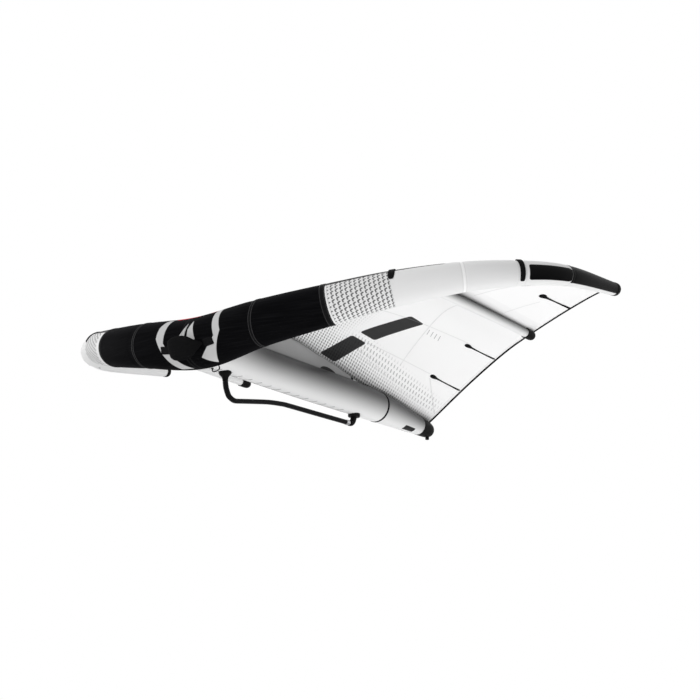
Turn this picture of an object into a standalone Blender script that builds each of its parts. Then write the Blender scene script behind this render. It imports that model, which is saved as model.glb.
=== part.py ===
"""Inflatable hand-held wing for wing foiling, in flight attitude.

X is the span, Y runs from the leading edge back to the trailing edge, Z is up.
Everything is first placed from the centre of the leading edge tube, and the whole
wing then moves onto the middle of its own footprint.
Along the leading edge a place is given by its station number: 0 is the middle of
the wing and 7 the end of the tip, counted negative on the left half.
Round the tube a place is given by its side number, from the back upwards.
"""

import math

import bmesh
import bpy
import numpy as np
from mathutils import Matrix, Vector

# Fit between pieces that touch
GAP = 0.0003
SEWN_CLEARANCE = 0.0008
MERGE_DISTANCE = 0.00001

# Overall size
HALF_SPAN = 1.581
SWEEP = 1.363
TIP_RISE = 0.385
ROOT_CHORD = 1.979
CAMBER = 0.14

# Leading edge tube
LE_RADIUS = 0.130
CLOTH_WALL = 0.0015
LE_SIDES = 20
KNOTS_PER_STATION = 2
# x of the half span, y of the sweep, z of the tip's rise, radius of the middle's
LEADING_EDGE_SHARES = (
    (0.000, 0.0270, 0.000, 1.000),
    (0.243, 0.0260, 0.104, 0.885),
    (0.460, 0.0995, 0.273, 0.777),
    (0.638, 0.2080, 0.470, 0.669),
    (0.801, 0.3400, 0.634, 0.562),
    (0.918, 0.4810, 0.745, 0.477),
    (0.996, 0.6530, 0.836, 0.392),
    (1.000, 1.0000, 1.000, 0.246),
)
PIPING_STATION = 1
STRIPE_STATION = 2
BAR_STATION = 3
OUTER_BAR_STATION = 5.01
KINK_STATION = 6
TIP_STATION = 7
PIPING_WIDTH = 0.010
STRIPE_WIDTH = 0.030
KINK_RING_WIDTH = 0.018
TIP_CAP_LENGTH = 0.022
CAP_WALL = 0.003
BAR_THICKNESS = 0.005
BAR_WIDTH = 0.048
OUTER_BAR_WIDTH = 0.021
# first and last side that each bar covers
BAR_SIDES = (5, 9)
OUTER_BAR_SIDES = (5, 13)

# Canopy
CANOPY_THICKNESS = 0.0012
ATTACH_SIDE = 4
# x of the half span, y of the root chord, z of the tip's rise
TRAILING_EDGE_SHARES = (
    (0.000, 1.0000, 0.030),
    (0.237, 0.9210, 0.395),
    (0.449, 0.8410, 0.636),
    (0.611, 0.7670, 0.714),
    (0.764, 0.7305, 0.867),
    (0.873, 0.7290, 1.031),
    (0.936, 0.7175, 1.075),
    (0.968, 0.7030, 1.068),
)
COLUMN_STATIONS = (0, 0.12, 0.25, 0.5, 0.75, 1, 1.5, 2, 2.5, 3, 3.15, 3.4, 3.8, 4.2, 4.6, 5, 5.5, 6, 6.5, 7)
CHORD_SHARES = (0, 0.03, 0.07, 0.12, 0.18, 0.26, 0.35, 0.44, 0.53, 0.68, 0.80, 0.87, 1)
# the rise of the canopy above its chord line, along the chord
BILLOW_SHARES = (
    (0.00, 0.00), (0.03, 0.20), (0.07, 0.42), (0.12, 0.62), (0.18, 0.79), (0.26, 0.93), (0.35, 1.00),
    (0.44, 0.98), (0.53, 0.90), (0.63, 0.75), (0.74, 0.53), (0.82, 0.36), (0.92, 0.15), (1.00, 0.00),
)
# how much of the camber each station has
STATION_CAMBER_SHARES = (
    (0, 0.90), (1, 1.05), (2, 0.95), (2.7, 0.50), (3.15, 0.12), (3.7, 0.24), (4.4, 0.32), (5, 0.32),
    (6, 0.20), (7, 0.02),
)
# the canopy's rise over the web in the middle of the wing
CENTRE_SHARES = (
    (0.00, 0.00), (0.03, 0.17), (0.07, 0.36), (0.12, 0.54), (0.18, 0.69), (0.26, 0.80), (0.35, 0.82),
    (0.44, 0.68), (0.53, 0.54), (0.63, 0.33), (1.00, 0.00),
)
CENTRE_BLEND_STATIONS = 0.8

# Centre strut: y of the root chord, height and radius of the strut's radius
STRUT_RADIUS = 0.097
STRUT_SIDES = 20
STRUT_SHARES = (
    (0.030, -0.110, 1.000),
    (0.403, -0.103, 0.985),
    (0.632, -0.062, 0.948),
    (0.742, -0.093, 0.887),
    (0.952, -0.360, 0.530),
    (1.000, -0.430, 0.450),
)
# how far the seam between the strut's panels lies behind the boom's end
STRUT_PIPING_BEHIND_BOOM = 0.201418
STRUT_PIPING_WIDTH = 0.012
STRUT_CAP_SHARE = 0.940
# distance along the cap and radius there
STRUT_CAP_SHARES = ((0.0, 1.0), (0.55, 1.0), (0.85, 0.90), (1.0, 0.66))
# small stud under the end cap
STUD_SHARE = 0.988
STUD_RADIUS = 0.011
STUD_HEIGHT = 0.012
STUD_TOP = 0.0045
STRUT_BLADDER_SHARES = (0.0885, 0.1005, 0.403, 0.632, 0.742, 0.935, 0.945)

# Mid struts
MID_STRUT_STATION = 3.15
MID_STRUT_RADIUS = 0.0265
MID_STRUT_END_RADIUS = 0.0225
MID_STRUT_SIDES = 12
MID_STRUT_START_SHARE = 0.012
MID_STRUT_CAP_SHARE = 0.94
MID_STRUT_END_SHARE = 0.99
MID_STRUT_CAP_SHARES = ((0.0, 1.0), (0.6, 1.0), (0.87, 0.88), (1.0, 0.62))
MID_BLADDER_SHARES = (0.10, 0.12, 0.905, 0.925)

# Web between the centre strut and the canopy
WEB_THICKNESS = 0.002
WEB_NOSE_SIDES = (3, 2)
WEB_END_SHARE = 0.629

# Battens in their pockets, under the canopy at the trailing edge
# station and place along the chord of each batten's two ends
BATTENS = {
    "inner": ((0.748, 0.845), (0.819, 0.988)),
    "middle": ((1.681, 0.832), (1.789, 0.988)),
    "outer": ((4.157, 0.717), (4.326, 0.987)),
}
BATTEN_WIDTH = 0.009
BATTEN_THICKNESS = 0.003
BATTEN_STEPS = 12
# distance along the batten and width there
BATTEN_WIDTH_SHARES = ((0.0, 0.9), (0.04, 1.7), (0.10, 2.0), (0.17, 1.6), (0.28, 1.0), (1.0, 1.0))

# Bladders
BLADDER_WALL = 0.0006
BLADDER_NECK_RADIUS = 0.008
BLADDER_STATIONS = (6.85, 6.92)

# Boom: y along the boom and drop below the strut
BOOM_WIDTH = 0.028
BOOM_HEIGHT = 0.01863
BOOM_SIDES = 12
# power of the section's rounding over and under: 1 is an oval, less is squarer
BOOM_ROUNDNESS_SHARES = (1, 0.4)
BOOM_START = 0.2215
BOOM_LENGTH = 1.0455
BOOM_DROP = 0.134
BOOM_STEPS_PER_ROW = 4
BOOM_SHARES = (
    (0.0063, 0.338), (0.0081, 0.409), (0.0162, 0.604), (0.0337, 0.822), (0.0496, 0.901), (0.0730, 0.954),
    (0.0957, 0.942), (0.1531, 0.850), (0.2756, 0.656), (0.3345, 0.573), (0.4095, 0.501), (0.4859, 0.464),
    (0.8041, 0.425), (0.9630, 0.411),
)
# where the silver collar sits, in rows of the table above
COLLAR_ROWS = (12.79, 12.97)
COLLAR_WALL = 0.0018
FRONT_MOUNT_RADIUS = 0.033
FRONT_MOUNT_HEIGHT = 0.0440
FRONT_MOUNT_TOP = 0.012
# how far the front mount leans back for each metre of its height
FRONT_MOUNT_LEAN = 0.14
# radius and height of the front mount's flare, from its rim to the tube
FRONT_MOUNT_SHARES = (
    (1.00, 0.00), (1.00, 0.30), (0.93, 0.36), (0.64, 0.44), (0.48, 0.52), (0.45, 0.70), (0.40, 1.00),
)
ELBOW_WALL = 0.0026
ELBOW_SHARES = ((0.971, 0.409), (0.981, 0.384), (0.9905, 0.300), (0.9965, 0.181), (1.000, 0.061))
REAR_MOUNT_RADIUS = 0.0335
REAR_MOUNT_DEPTH = 0.014
REAR_MOUNT_ROUNDING = 0.0025

# Handle on the leading edge
HANDLE_SIDE = 11.5
HANDLE_STATIONS = (0.295, 0.420)
# how far the handle sits to the right of the middle, in stations
HANDLE_SHIFT = 0.045
HANDLE_STANDOFF = 0.046
HANDLE_WIDTH = 0.100
HANDLE_THICKNESS = 0.020
HANDLE_ANCHOR_SIDES = 0.42
HANDLE_ANCHOR_THICKNESS = 0.003
HANDLE_SECTION_SIDES = 12
HANDLE_STEPS_PER_ROW = 2
# place along half the handle, standoff, width and thickness
HANDLE_SHARES = (
    (1.00, 0.00, 0.08, 0.40),
    (0.96, 0.02, 0.08, 0.39),
    (0.92, 0.11, 0.16, 0.30),
    (0.85, 0.42, 0.34, 0.22),
    (0.76, 0.72, 0.42, 0.25),
    (0.64, 0.90, 0.72, 0.80),
    (0.40, 0.98, 0.96, 1.00),
    (0.00, 1.00, 1.00, 1.00),
)

# Inflation valve
VALVE_STATION = -0.5
VALVE_SIDE = 18.5
FLANGE_RADIUS = 0.028
FLANGE_HEIGHT = 0.005
FLANGE_DEPTH = 0.012
VALVE_RADIUS = 0.0185
VALVE_HEIGHT = 0.014
NECK_RADIUS = 0.0165
NECK_DEPTH = 0.024
BORE_RADIUS = 0.0125
GUIDE_RADIUS = 0.0060
GUIDE_TOP = 0.004
STEM_HEAD_RADIUS = 0.0100
STEM_HEAD_HEIGHT = 0.004
STEM_RECESS = 0.003
CAP_SKIRT = 0.004
KNUCKLE_RADIUS = 0.0024
PIN_RADIUS = 0.0010
KNUCKLE_WIDTH = 0.012
EAR_WIDTH = 0.004
LATHE_STEPS = 28

# Hose between the leading edge and the strut
HOSE_DIAMETER = 0.006
PORT_RADIUS = 0.0065
PORT_HEIGHT = 0.008
LE_PORT_STATION = 0.18
LE_PORT_SIDE = 16.5
STRUT_PORT_SHARE = 0.9895
HOSE_STEPS_PER_ROW = 4
HOSE_POINTS = (
    (0.0765, 0.0956, -0.1157), (0.0767, 0.0985, -0.1212), (0.0720, 0.1040, -0.1255),
    (0.0590, 0.1130, -0.1278), (0.0400, 0.1210, -0.1288), (0.0200, 0.1262, -0.1284),
    (0.0072, 0.1283, -0.1258), (0.0010, 0.1286, -0.1214), (0.0000, 0.1286, -0.1163),
)

COLOURS = {
    "black_weave": ((0.012, 0.012, 0.013), 0.55, 0.0),
    "black_trim": ((0.006, 0.006, 0.007), 0.5, 0.0),
    "grey_piping": ((0.09, 0.09, 0.09), 0.6, 0.0),
    "white_cloth": ((0.86, 0.86, 0.86), 0.45, 0.0),
    "white_canopy": ((0.90, 0.90, 0.90), 0.5, 0.0),
    "grey_web": ((0.42, 0.42, 0.42), 0.55, 0.0),
    "clear_bladder": ((0.75, 0.78, 0.80), 0.3, 0.0),
    "black_plastic": ((0.010, 0.010, 0.010), 0.4, 0.0),
    "black_hose": ((0.015, 0.015, 0.015), 0.5, 0.0),
    "black_foam": ((0.008, 0.008, 0.008), 0.7, 0.0),
    "boom_black": ((0.010, 0.010, 0.011), 0.35, 0.0),
    "silver": ((0.55, 0.55, 0.55), 0.3, 1.0),
}


def clear_scene():
    """Removes every object, so that the script starts from nothing."""
    for found in list(bpy.data.objects):
        bpy.data.objects.remove(found)


def new_collection(name):
    """A collection linked into the scene."""
    made = bpy.data.collections.new(name)
    bpy.context.scene.collection.children.link(made)
    return made


def material(name):
    """The named finish, made once."""
    found = bpy.data.materials.get(name)
    if found:
        return found
    colour, roughness, metallic = COLOURS[name]
    made = bpy.data.materials.new(name)
    made.use_nodes = True
    shader = made.node_tree.nodes["Principled BSDF"]
    shader.inputs["Base Color"].default_value = (*colour, 1)
    shader.inputs["Roughness"].default_value = roughness
    shader.inputs["Metallic"].default_value = metallic
    return made


def add_object(name, mesh, finish=None):
    """Puts a mesh or curve into the wing, or among the cutters where it has no finish."""
    made = bpy.data.objects.new(name, mesh)
    if finish:
        parts.objects.link(made)
        mesh.materials.append(material(finish))
    else:
        cutters.objects.link(made)
        made.hide_render = True
        made.display_type = "WIRE"
    return made


def add_solid(name, points, faces, finish=None):
    """A closed body from its points and faces, turned so that it faces out."""
    mesh = bpy.data.meshes.new(name)
    mesh.from_pydata([tuple(point) for point in points], [], faces)
    made = bmesh.new()
    made.from_mesh(mesh)
    bmesh.ops.recalc_face_normals(made, faces=made.faces)
    made.to_mesh(mesh)
    made.free()
    return add_object(name, mesh, finish)


def flipped(rings, side):
    """Rings or grids of the right half, brought to the half on the wanted side."""
    return [np.array(ring) * (side, 1, 1) for ring in rings]


def strip(first, second):
    """The four-sided faces between two rings of point numbers."""
    count = len(first)
    return [(first[i], first[(i + 1) % count], second[(i + 1) % count], second[i]) for i in range(count)]


def numbered(rings):
    """All points of the rings in one list, and the rings again as point numbers."""
    points = [point for ring in rings for point in ring]
    numbers, start = [], 0
    for ring in rings:
        numbers.append(list(range(start, start + len(ring))))
        start += len(ring)
    return points, numbers


def add_tube(name, outer, inner, finish, closed_end=False):
    """A walled tube through outer and inner rings, open at both ends or closed at its last one."""
    points, numbers = numbered(list(outer) + list(inner))
    skin, lining = numbers[:len(outer)], numbers[len(outer):]
    faces = []
    for near, far in list(zip(skin, skin[1:])) + list(zip(lining, lining[1:])):
        faces += strip(near, far)
    faces += strip(skin[0], lining[0])
    faces += [tuple(skin[-1]), tuple(lining[-1])] if closed_end else strip(skin[-1], lining[-1])
    return add_solid(name, points, faces, finish)


def add_loft(name, rings, finish=None):
    """A solid lofted through rings, with a face at each end."""
    points, numbers = numbered(list(rings))
    faces = [tuple(numbers[0]), tuple(numbers[-1])]
    for near, far in zip(numbers, numbers[1:]):
        faces += strip(near, far)
    return add_solid(name, points, faces, finish)


def add_slab(name, upper, lower, finish):
    """A plate lofted between two grids of points that match row by row."""
    rows, columns = len(upper), len(upper[0])
    points = [point for grid in (upper, lower) for row in grid for point in row]
    count = rows * columns
    faces = []
    for i in range(rows - 1):
        for j in range(columns - 1):
            a = i * columns + j
            quad = (a, a + columns, a + columns + 1, a + 1)
            faces += [quad, tuple(number + count for number in quad)]
    border = [j for j in range(columns)]
    border += [i * columns + columns - 1 for i in range(1, rows)]
    border += [(rows - 1) * columns + j for j in range(columns - 2, -1, -1)]
    border += [i * columns for i in range(rows - 2, 0, -1)]
    faces += strip(border, [number + count for number in border])
    return add_solid(name, points, faces, finish)


def add_box(name, low, high, place, finish=None):
    """A box between two corners, given in a place's own axes."""
    low, high = Vector(low), Vector(high)
    size = Matrix.Diagonal((*(high - low), 1))
    made = bmesh.new()
    bmesh.ops.create_cube(made, size=1, matrix=Matrix.Translation((low + high) / 2) @ size)
    mesh = bpy.data.meshes.new(name)
    made.to_mesh(mesh)
    made.free()
    box = add_object(name, mesh, finish)
    box.matrix_world = place
    return box


def add_rod(name, points, radius, finish=None):
    """A round rod along a line of points."""
    curve = bpy.data.curves.new(name, "CURVE")
    curve.dimensions = "3D"
    curve.bevel_depth = radius
    curve.bevel_resolution = 3
    curve.use_fill_caps = True
    spline = curve.splines.new("POLY")
    spline.points.add(len(points) - 1)
    for target, point in zip(spline.points, points):
        target.co = (*point, 1)
    return as_mesh(add_object(name, curve, finish))


def lathe(name, profile, place, finish=None):
    """Turns a profile of (radius, height), top to bottom down its outer side, about a place's Z."""
    mesh = bpy.data.meshes.new(name)
    edges = [(i, i + 1) for i in range(len(profile) - 1)]
    mesh.from_pydata([(radius, 0, height) for radius, height in profile], edges, [])
    made = add_object(name, mesh, finish)
    screw = made.modifiers.new("turn", "SCREW")
    screw.steps = LATHE_STEPS
    screw.render_steps = LATHE_STEPS
    screw.use_merge_vertices = True
    screw.merge_threshold = MERGE_DISTANCE
    made.matrix_world = place
    return as_mesh(made)


def as_mesh(made):
    """Turns an object with live modifiers, or a curve, into a plain mesh in the same place."""
    bpy.context.view_layer.update()
    graph = bpy.context.evaluated_depsgraph_get()
    mesh = bpy.data.meshes.new_from_object(made.evaluated_get(graph))
    joined = bmesh.new()
    joined.from_mesh(mesh)
    bmesh.ops.remove_doubles(joined, verts=joined.verts, dist=MERGE_DISTANCE)
    bmesh.ops.recalc_face_normals(joined, faces=joined.faces)
    joined.to_mesh(mesh)
    joined.free()
    name, place, home = made.name, made.matrix_world.copy(), made.users_collection[0]
    hidden, shown_as = made.hide_render, made.display_type
    bpy.data.objects.remove(made)
    fresh = bpy.data.objects.new(name, mesh)
    home.objects.link(fresh)
    fresh.hide_render = hidden
    fresh.display_type = shown_as
    fresh.matrix_world = place
    return fresh


def boolean(target, operation, *tools):
    """Cuts target by each tool, or joins it with each, and keeps the result as its mesh."""
    for tool in tools:
        modifier = target.modifiers.new(operation.lower(), "BOOLEAN")
        modifier.operation = operation
        modifier.solver = "EXACT"
        modifier.object = tool
    bpy.context.view_layer.update()
    graph = bpy.context.evaluated_depsgraph_get()
    mesh = bpy.data.meshes.new_from_object(target.evaluated_get(graph))
    target.modifiers.clear()
    target.data = mesh
    return target


def set_origin(made, point):
    """Moves an object's origin to a point and leaves its shape in place."""
    place = made.matrix_world.copy()
    fresh = place.copy()
    fresh.translation = point
    made.data.transform(fresh.inverted() @ place)
    made.matrix_world = fresh


def placed(origin, along, up):
    """A place at an origin, with Z in the up direction and X near the along direction."""
    z = Vector(up).normalized()
    y = z.cross(Vector(along)).normalized()
    place = Matrix((y.cross(z), y, z)).transposed().to_4x4()
    place.translation = origin
    return place


def smooth_row(rows, place, mirrored=False):
    """A Catmull-Rom curve through a table's rows, whose first column may mirror at the start."""
    rows = np.asarray(rows, float)
    before = rows[1] * ([-1] + [1] * (rows.shape[1] - 1)) if mirrored else 2 * rows[0] - rows[1]
    points = np.vstack([before, rows, 2 * rows[-1] - rows[-2]])
    index = min(int(place), len(rows) - 2)
    part = place - index
    a, b, c, d = points[index:index + 4]
    bend = (2 * a - 5 * b + 4 * c - d) * part ** 2 + (3 * b - a - 3 * c + d) * part ** 3
    return (2 * b + (c - a) * part + bend) / 2


def smooth_line(rows, steps_per_row):
    """The smooth curve through a table's rows, sampled evenly between them."""
    count = (len(rows) - 1) * steps_per_row
    return [smooth_row(rows, step / steps_per_row) for step in range(count + 1)]


def read(rows, place):
    """A value read from a table of (place, value) rows along straight lines."""
    places, values = zip(*rows)
    return float(np.interp(place, places, values))


def narrowed(ring, radius):
    """A ring drawn in to a radius about its own middle."""
    points = np.array(ring)
    spokes = points - points.mean(axis=0)
    return points.mean(axis=0) + spokes * (radius / np.linalg.norm(spokes, axis=1))[:, None]


def spine(station):
    """The centre and radius of the leading edge tube at a station of either half."""
    x, y, z, radius = smooth_row(LEADING_EDGE_SHARES, abs(station), mirrored=True)
    side = -1 if station < 0 else 1
    return Vector((side * x * HALF_SPAN, y * SWEEP, z * TIP_RISE)), float(radius) * LE_RADIUS


def knot_ring(station, offset):
    """The tube's polygon at a knot, square to the tube and drawn out by an offset."""
    near = 1 / LE_SIDES ** 2
    ahead = spine(min(abs(station) + near, TIP_STATION))[0]
    along = (ahead - spine(abs(station) - near)[0]).normalized()
    up = (Vector((0, 0, 1)) - along * along.z).normalized()
    back = up.cross(along)
    centre, radius = spine(abs(station))
    turns = [2 * math.pi * side / LE_SIDES for side in range(LE_SIDES)]
    points = [centre + (radius + offset) * (math.cos(turn) * back + math.sin(turn) * up) for turn in turns]
    return flipped([points], -1 if station < 0 else 1)[0]


def le_ring(station, offset=0):
    """The faceted tube's polygon at any station, on the straight lines between its knots."""
    knot = math.floor(station * KNOTS_PER_STATION) / KNOTS_PER_STATION
    share = (station - knot) * KNOTS_PER_STATION
    if share == 0:
        return knot_ring(knot, offset)
    return (1 - share) * knot_ring(knot, offset) + share * knot_ring(knot + 1 / KNOTS_PER_STATION, offset)


def le_point(station, side, offset=0):
    """A point of the faceted tube, whose side number may lie between two corners."""
    ring = le_ring(station, offset)
    low = math.floor(side)
    return Vector((1 - side + low) * ring[low % LE_SIDES] + (side - low) * ring[(low + 1) % LE_SIDES])


def le_place(station, side):
    """The place on the faceted tube's surface, with Z out of the face and X along the tube."""
    near = 1 / LE_SIDES ** 2
    along = le_point(station + near, side) - le_point(station - near, side)
    across = le_point(station, math.ceil(side)) - le_point(station, math.floor(side))
    return placed(le_point(station, side), along, across.cross(along))


def stations_of(length, station):
    """A length along the tube near a station, in stations."""
    near = 1 / LE_SIDES ** 2
    low = min(abs(station), TIP_STATION - near)
    return length * near / (spine(low + near)[0] - spine(low)[0]).length


def knots_between(first, last):
    """The ends of a stretch of the tube with the knots that lie inside it."""
    count = TIP_STATION * KNOTS_PER_STATION
    knots = [knot / KNOTS_PER_STATION for knot in range(-count, count + 1)]
    return [first] + [knot for knot in knots if first < knot < last] + [last]


def add_le_band(name, first, last, side, finish):
    """A walled stretch of the leading edge tube between two stations."""
    places = [side * place for place in knots_between(first, last)]
    outer = [le_ring(place) for place in places]
    inner = [le_ring(place, -CLOTH_WALL) for place in places]
    return add_tube(name, outer, inner, finish)


def add_leading_edge():
    """The panels of the leading edge tube, with the narrow bands between them."""
    half_gap = {station: stations_of(GAP / 2, station) for station in range(1, 8)}
    widths = {PIPING_STATION: PIPING_WIDTH, STRIPE_STATION: STRIPE_WIDTH, KINK_STATION: KINK_RING_WIDTH}
    half_band = {station: stations_of(width / 2, station) for station, width in widths.items()}
    start = {station: station + half_band.get(station, 0) + half_gap[station] for station in range(1, 7)}
    stop = {station: station - half_band.get(station, 0) - half_gap[station] for station in range(1, 7)}
    cap_start = TIP_STATION - stations_of(TIP_CAP_LENGTH, TIP_STATION)
    stop[TIP_STATION] = cap_start - 2 * half_gap[TIP_STATION]
    add_le_band("le_center_panel", -stop[1], stop[1], 1, "black_weave")
    panels = (
        ("le_inner_panel", 1, 2, "black_weave"), ("le_pattern_panel", 2, 3, "white_cloth"),
        ("le_mid_panel", 3, 4, "white_cloth"), ("le_outer_panel", 4, 5, "white_cloth"),
        ("le_kink_panel", 5, 6, "white_cloth"), ("le_tip_panel", 6, 7, "black_trim"),
    )
    bands = (
        ("le_piping", PIPING_STATION, "grey_piping"), ("le_stripe", STRIPE_STATION, "grey_piping"),
        ("le_kink_ring", KINK_STATION, "grey_piping"),
    )
    for side_name, side in SIDES.items():
        for name, first, last, finish in panels:
            add_le_band(name + side_name, start[first], stop[last], side, finish)
        for name, station, finish in bands:
            reach = half_band[station] - half_gap[station]
            add_le_band(name + side_name, station - reach, station + reach, side, finish)
        add_tip_cap(side_name, side, cap_start)
        add_bar("le_bar_inner" + side_name, BAR_STATION, BAR_WIDTH, BAR_SIDES, side)
        add_bar("le_bar_outer" + side_name, OUTER_BAR_STATION, OUTER_BAR_WIDTH, OUTER_BAR_SIDES, side)


def add_tip_cap(side_name, side, start):
    """The plastic cup that closes the tube at the tip."""
    wall = stations_of(CAP_WALL, TIP_STATION)
    outer = [le_ring(side * place) for place in (start, TIP_STATION)]
    inner = [le_ring(side * place, -CAP_WALL) for place in (start, TIP_STATION - wall)]
    add_tube("le_tip_cap" + side_name, outer, inner, "black_plastic", closed_end=True)


def add_bar(name, station, width, sides, side):
    """A padded bar sewn round the front of the tube."""
    reach = stations_of(width / 2, station)
    places = [side * place for place in knots_between(station - reach, station + reach)]
    corners = range(sides[0], sides[1] + 1)
    lower = [[le_ring(place, GAP)[corner] for corner in corners] for place in places]
    upper = [[le_ring(place, GAP + BAR_THICKNESS)[corner] for corner in corners] for place in places]
    add_slab(name, upper, lower, "black_trim")


def strut_at(y):
    """The height and radius of the centre strut at a distance behind the leading edge."""
    places, heights, radii = zip(*STRUT_SHARES)
    height = float(np.interp(y / ROOT_CHORD, places, heights))
    return height * STRUT_RADIUS, float(np.interp(y / ROOT_CHORD, places, radii)) * STRUT_RADIUS


def strut_ring(y, offset=0, share=1):
    """The centre strut's upright polygon."""
    height, radius = strut_at(y)
    reach = radius * share + offset
    turns = [2 * math.pi * side / STRUT_SIDES for side in range(STRUT_SIDES)]
    return [(reach * math.cos(turn), y, height + reach * math.sin(turn)) for turn in turns]


def strut_bottom(y):
    """The height of the lowest line of the centre strut."""
    height, radius = strut_at(y)
    return height - radius


def canopy_point(station, chord):
    """The canopy's middle surface: a chord line from nose to trailing edge, raised by the billow."""
    point = le_point(station, ATTACH_SIDE, GAP + CANOPY_THICKNESS)
    x, y, z = smooth_row(TRAILING_EDGE_SHARES, station)
    point = point.lerp(Vector((x * HALF_SPAN, y * ROOT_CHORD, z * TIP_RISE)), chord)
    billow = CAMBER * read(STATION_CAMBER_SHARES, station) * read(BILLOW_SHARES, chord)
    height, radius = strut_at(point.y)
    on_strut = height + radius + SEWN_CLEARANCE + CANOPY_THICKNESS / 2 - point.z
    centre = max(CAMBER * read(CENTRE_SHARES, chord), on_strut)
    share = (1 - min(station / CENTRE_BLEND_STATIONS, 1)) ** 2
    point.z += share * centre + (1 - share) * billow
    return point


def canopy_grid():
    """The canopy's points of the right half, with a row at each bend of the strut that it lies on."""
    front, back = canopy_point(0, 0).y, canopy_point(0, 1).y
    bends = [(row[0] * ROOT_CHORD - front) / (back - front) for row in STRUT_SHARES]
    rows = sorted(CHORD_SHARES + tuple(bend for bend in bends if WEB_END_SHARE - bend < 0.01 and bend < 1))
    return rows, np.array([[canopy_point(station, row) for row in rows] for station in COLUMN_STATIONS])


def canopy_facet(station, chord):
    """A point of the faceted canopy, on the straight lines between its grid's points."""
    column = min(np.searchsorted(COLUMN_STATIONS, station, side="right") - 1, len(COLUMN_STATIONS) - 2)
    row = min(np.searchsorted(chord_rows, chord, side="right") - 1, len(chord_rows) - 2)
    low, high = COLUMN_STATIONS[column:column + 2]
    u = (station - low) / (high - low)
    v = (chord - chord_rows[row]) / (chord_rows[row + 1] - chord_rows[row])
    a, b = grid[column][row:row + 2]
    c, d = grid[column + 1][row:row + 2]
    return Vector((1 - u) * ((1 - v) * a + v * b) + u * ((1 - v) * c + v * d))


def canopy_axes(station, chord):
    """The directions across, along and out of the canopy, and the span that a station takes there."""
    near = 1 / LE_SIDES ** 2
    across = canopy_facet(station + near, chord) - canopy_facet(station - near, chord)
    along = canopy_facet(station, min(chord + near, 1)) - canopy_facet(station, max(chord - near, 0))
    return across.normalized(), along.normalized(), across.cross(along).normalized(), across.length / near / 2


def add_canopy():
    """The canopy, one thin curved sheet from tip to tip."""
    left = flipped(grid[:0:-1], -1)
    columns = left + list(grid)
    points = [point for column in columns for point in column]
    count = len(chord_rows)
    faces = []
    for i in range(len(columns) - 1):
        for j in range(count - 1):
            a = i * count + j
            faces.append((a, a + count, a + count + 1, a + 1))
    mesh = bpy.data.meshes.new("canopy")
    mesh.from_pydata([tuple(point) for point in points], [], faces)
    made = add_object("canopy", mesh, "white_canopy")
    wall = made.modifiers.new("thickness", "SOLIDIFY")
    wall.thickness = CANOPY_THICKNESS
    wall.offset = 0


def add_battens(side_name, side):
    """The battens, each with a wider inner end, just under the canopy."""
    for name, ends in BATTENS.items():
        first, last = np.array(ends)
        upper, lower = [], []
        for step in range(BATTEN_STEPS + 1):
            place = step / BATTEN_STEPS
            station, chord = first + place * (last - first)
            across, along, out, span = canopy_axes(station, chord)
            reach = BATTEN_WIDTH * read(BATTEN_WIDTH_SHARES, place) / 2 / span
            row = [canopy_facet(station + share * reach, chord) for share in (-1, 0, 1)]
            depth = CANOPY_THICKNESS / 2 + SEWN_CLEARANCE
            upper.append([point - out * depth for point in row])
            lower.append([point - out * (depth + BATTEN_THICKNESS) for point in row])
        add_slab("batten_" + name + side_name, flipped(upper, side), flipped(lower, side), "black_trim")


def mid_strut_ring(chord, offset=0, share=1):
    """The mid strut's polygon, hanging just under the canopy."""
    across, along, out, span = canopy_axes(MID_STRUT_STATION, chord)
    radius = MID_STRUT_RADIUS + (MID_STRUT_END_RADIUS - MID_STRUT_RADIUS) * chord
    drop = radius + CANOPY_THICKNESS / 2 + SEWN_CLEARANCE
    centre = canopy_facet(MID_STRUT_STATION, chord) - out * drop
    aside = along.cross(out)
    turns = [2 * math.pi * corner / MID_STRUT_SIDES for corner in range(MID_STRUT_SIDES)]
    reach = radius * share + offset
    return [centre + reach * (math.cos(turn) * out + math.sin(turn) * aside) for turn in turns]


def mid_rows(first, last):
    """The chord places of a stretch of the mid strut, with the canopy's rows inside it."""
    return [first] + [row for row in chord_rows if first < row < last] + [last]


def add_mid_strut(side_name, side, le_tool):
    """One of the two slender struts, with its end cap and its bladder."""
    gap = GAP / (canopy_facet(MID_STRUT_STATION, 1) - canopy_facet(MID_STRUT_STATION, 0)).length
    places = mid_rows(MID_STRUT_START_SHARE, MID_STRUT_CAP_SHARE - gap)
    outer = [mid_strut_ring(place) for place in places]
    inner = [mid_strut_ring(place, -CLOTH_WALL) for place in places]
    made = add_tube("mid_strut" + side_name, flipped(outer, side), flipped(inner, side), "white_cloth")
    boolean(made, "DIFFERENCE", le_tool)
    length = MID_STRUT_END_SHARE - MID_STRUT_CAP_SHARE
    outer, inner = [], []
    for place, share in MID_STRUT_CAP_SHARES:
        outer.append(mid_strut_ring(MID_STRUT_CAP_SHARE + place * length, 0, share))
        lined = MID_STRUT_CAP_SHARE + place * (length - gap * CAP_WALL / GAP)
        inner.append(mid_strut_ring(lined, -CAP_WALL, share))
    name = "mid_strut_cap" + side_name
    add_tube(name, flipped(outer, side), flipped(inner, side), "black_plastic", closed_end=True)
    neck, first, last, tail = MID_BLADDER_SHARES
    places = [neck] + mid_rows(first, last) + [tail]
    rings = [[mid_strut_ring(place, offset) for place in places] for offset in BLADDER_OFFSETS]
    add_bladder("mid_strut_bladder" + side_name, [flipped(ring, side) for ring in rings])


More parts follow.
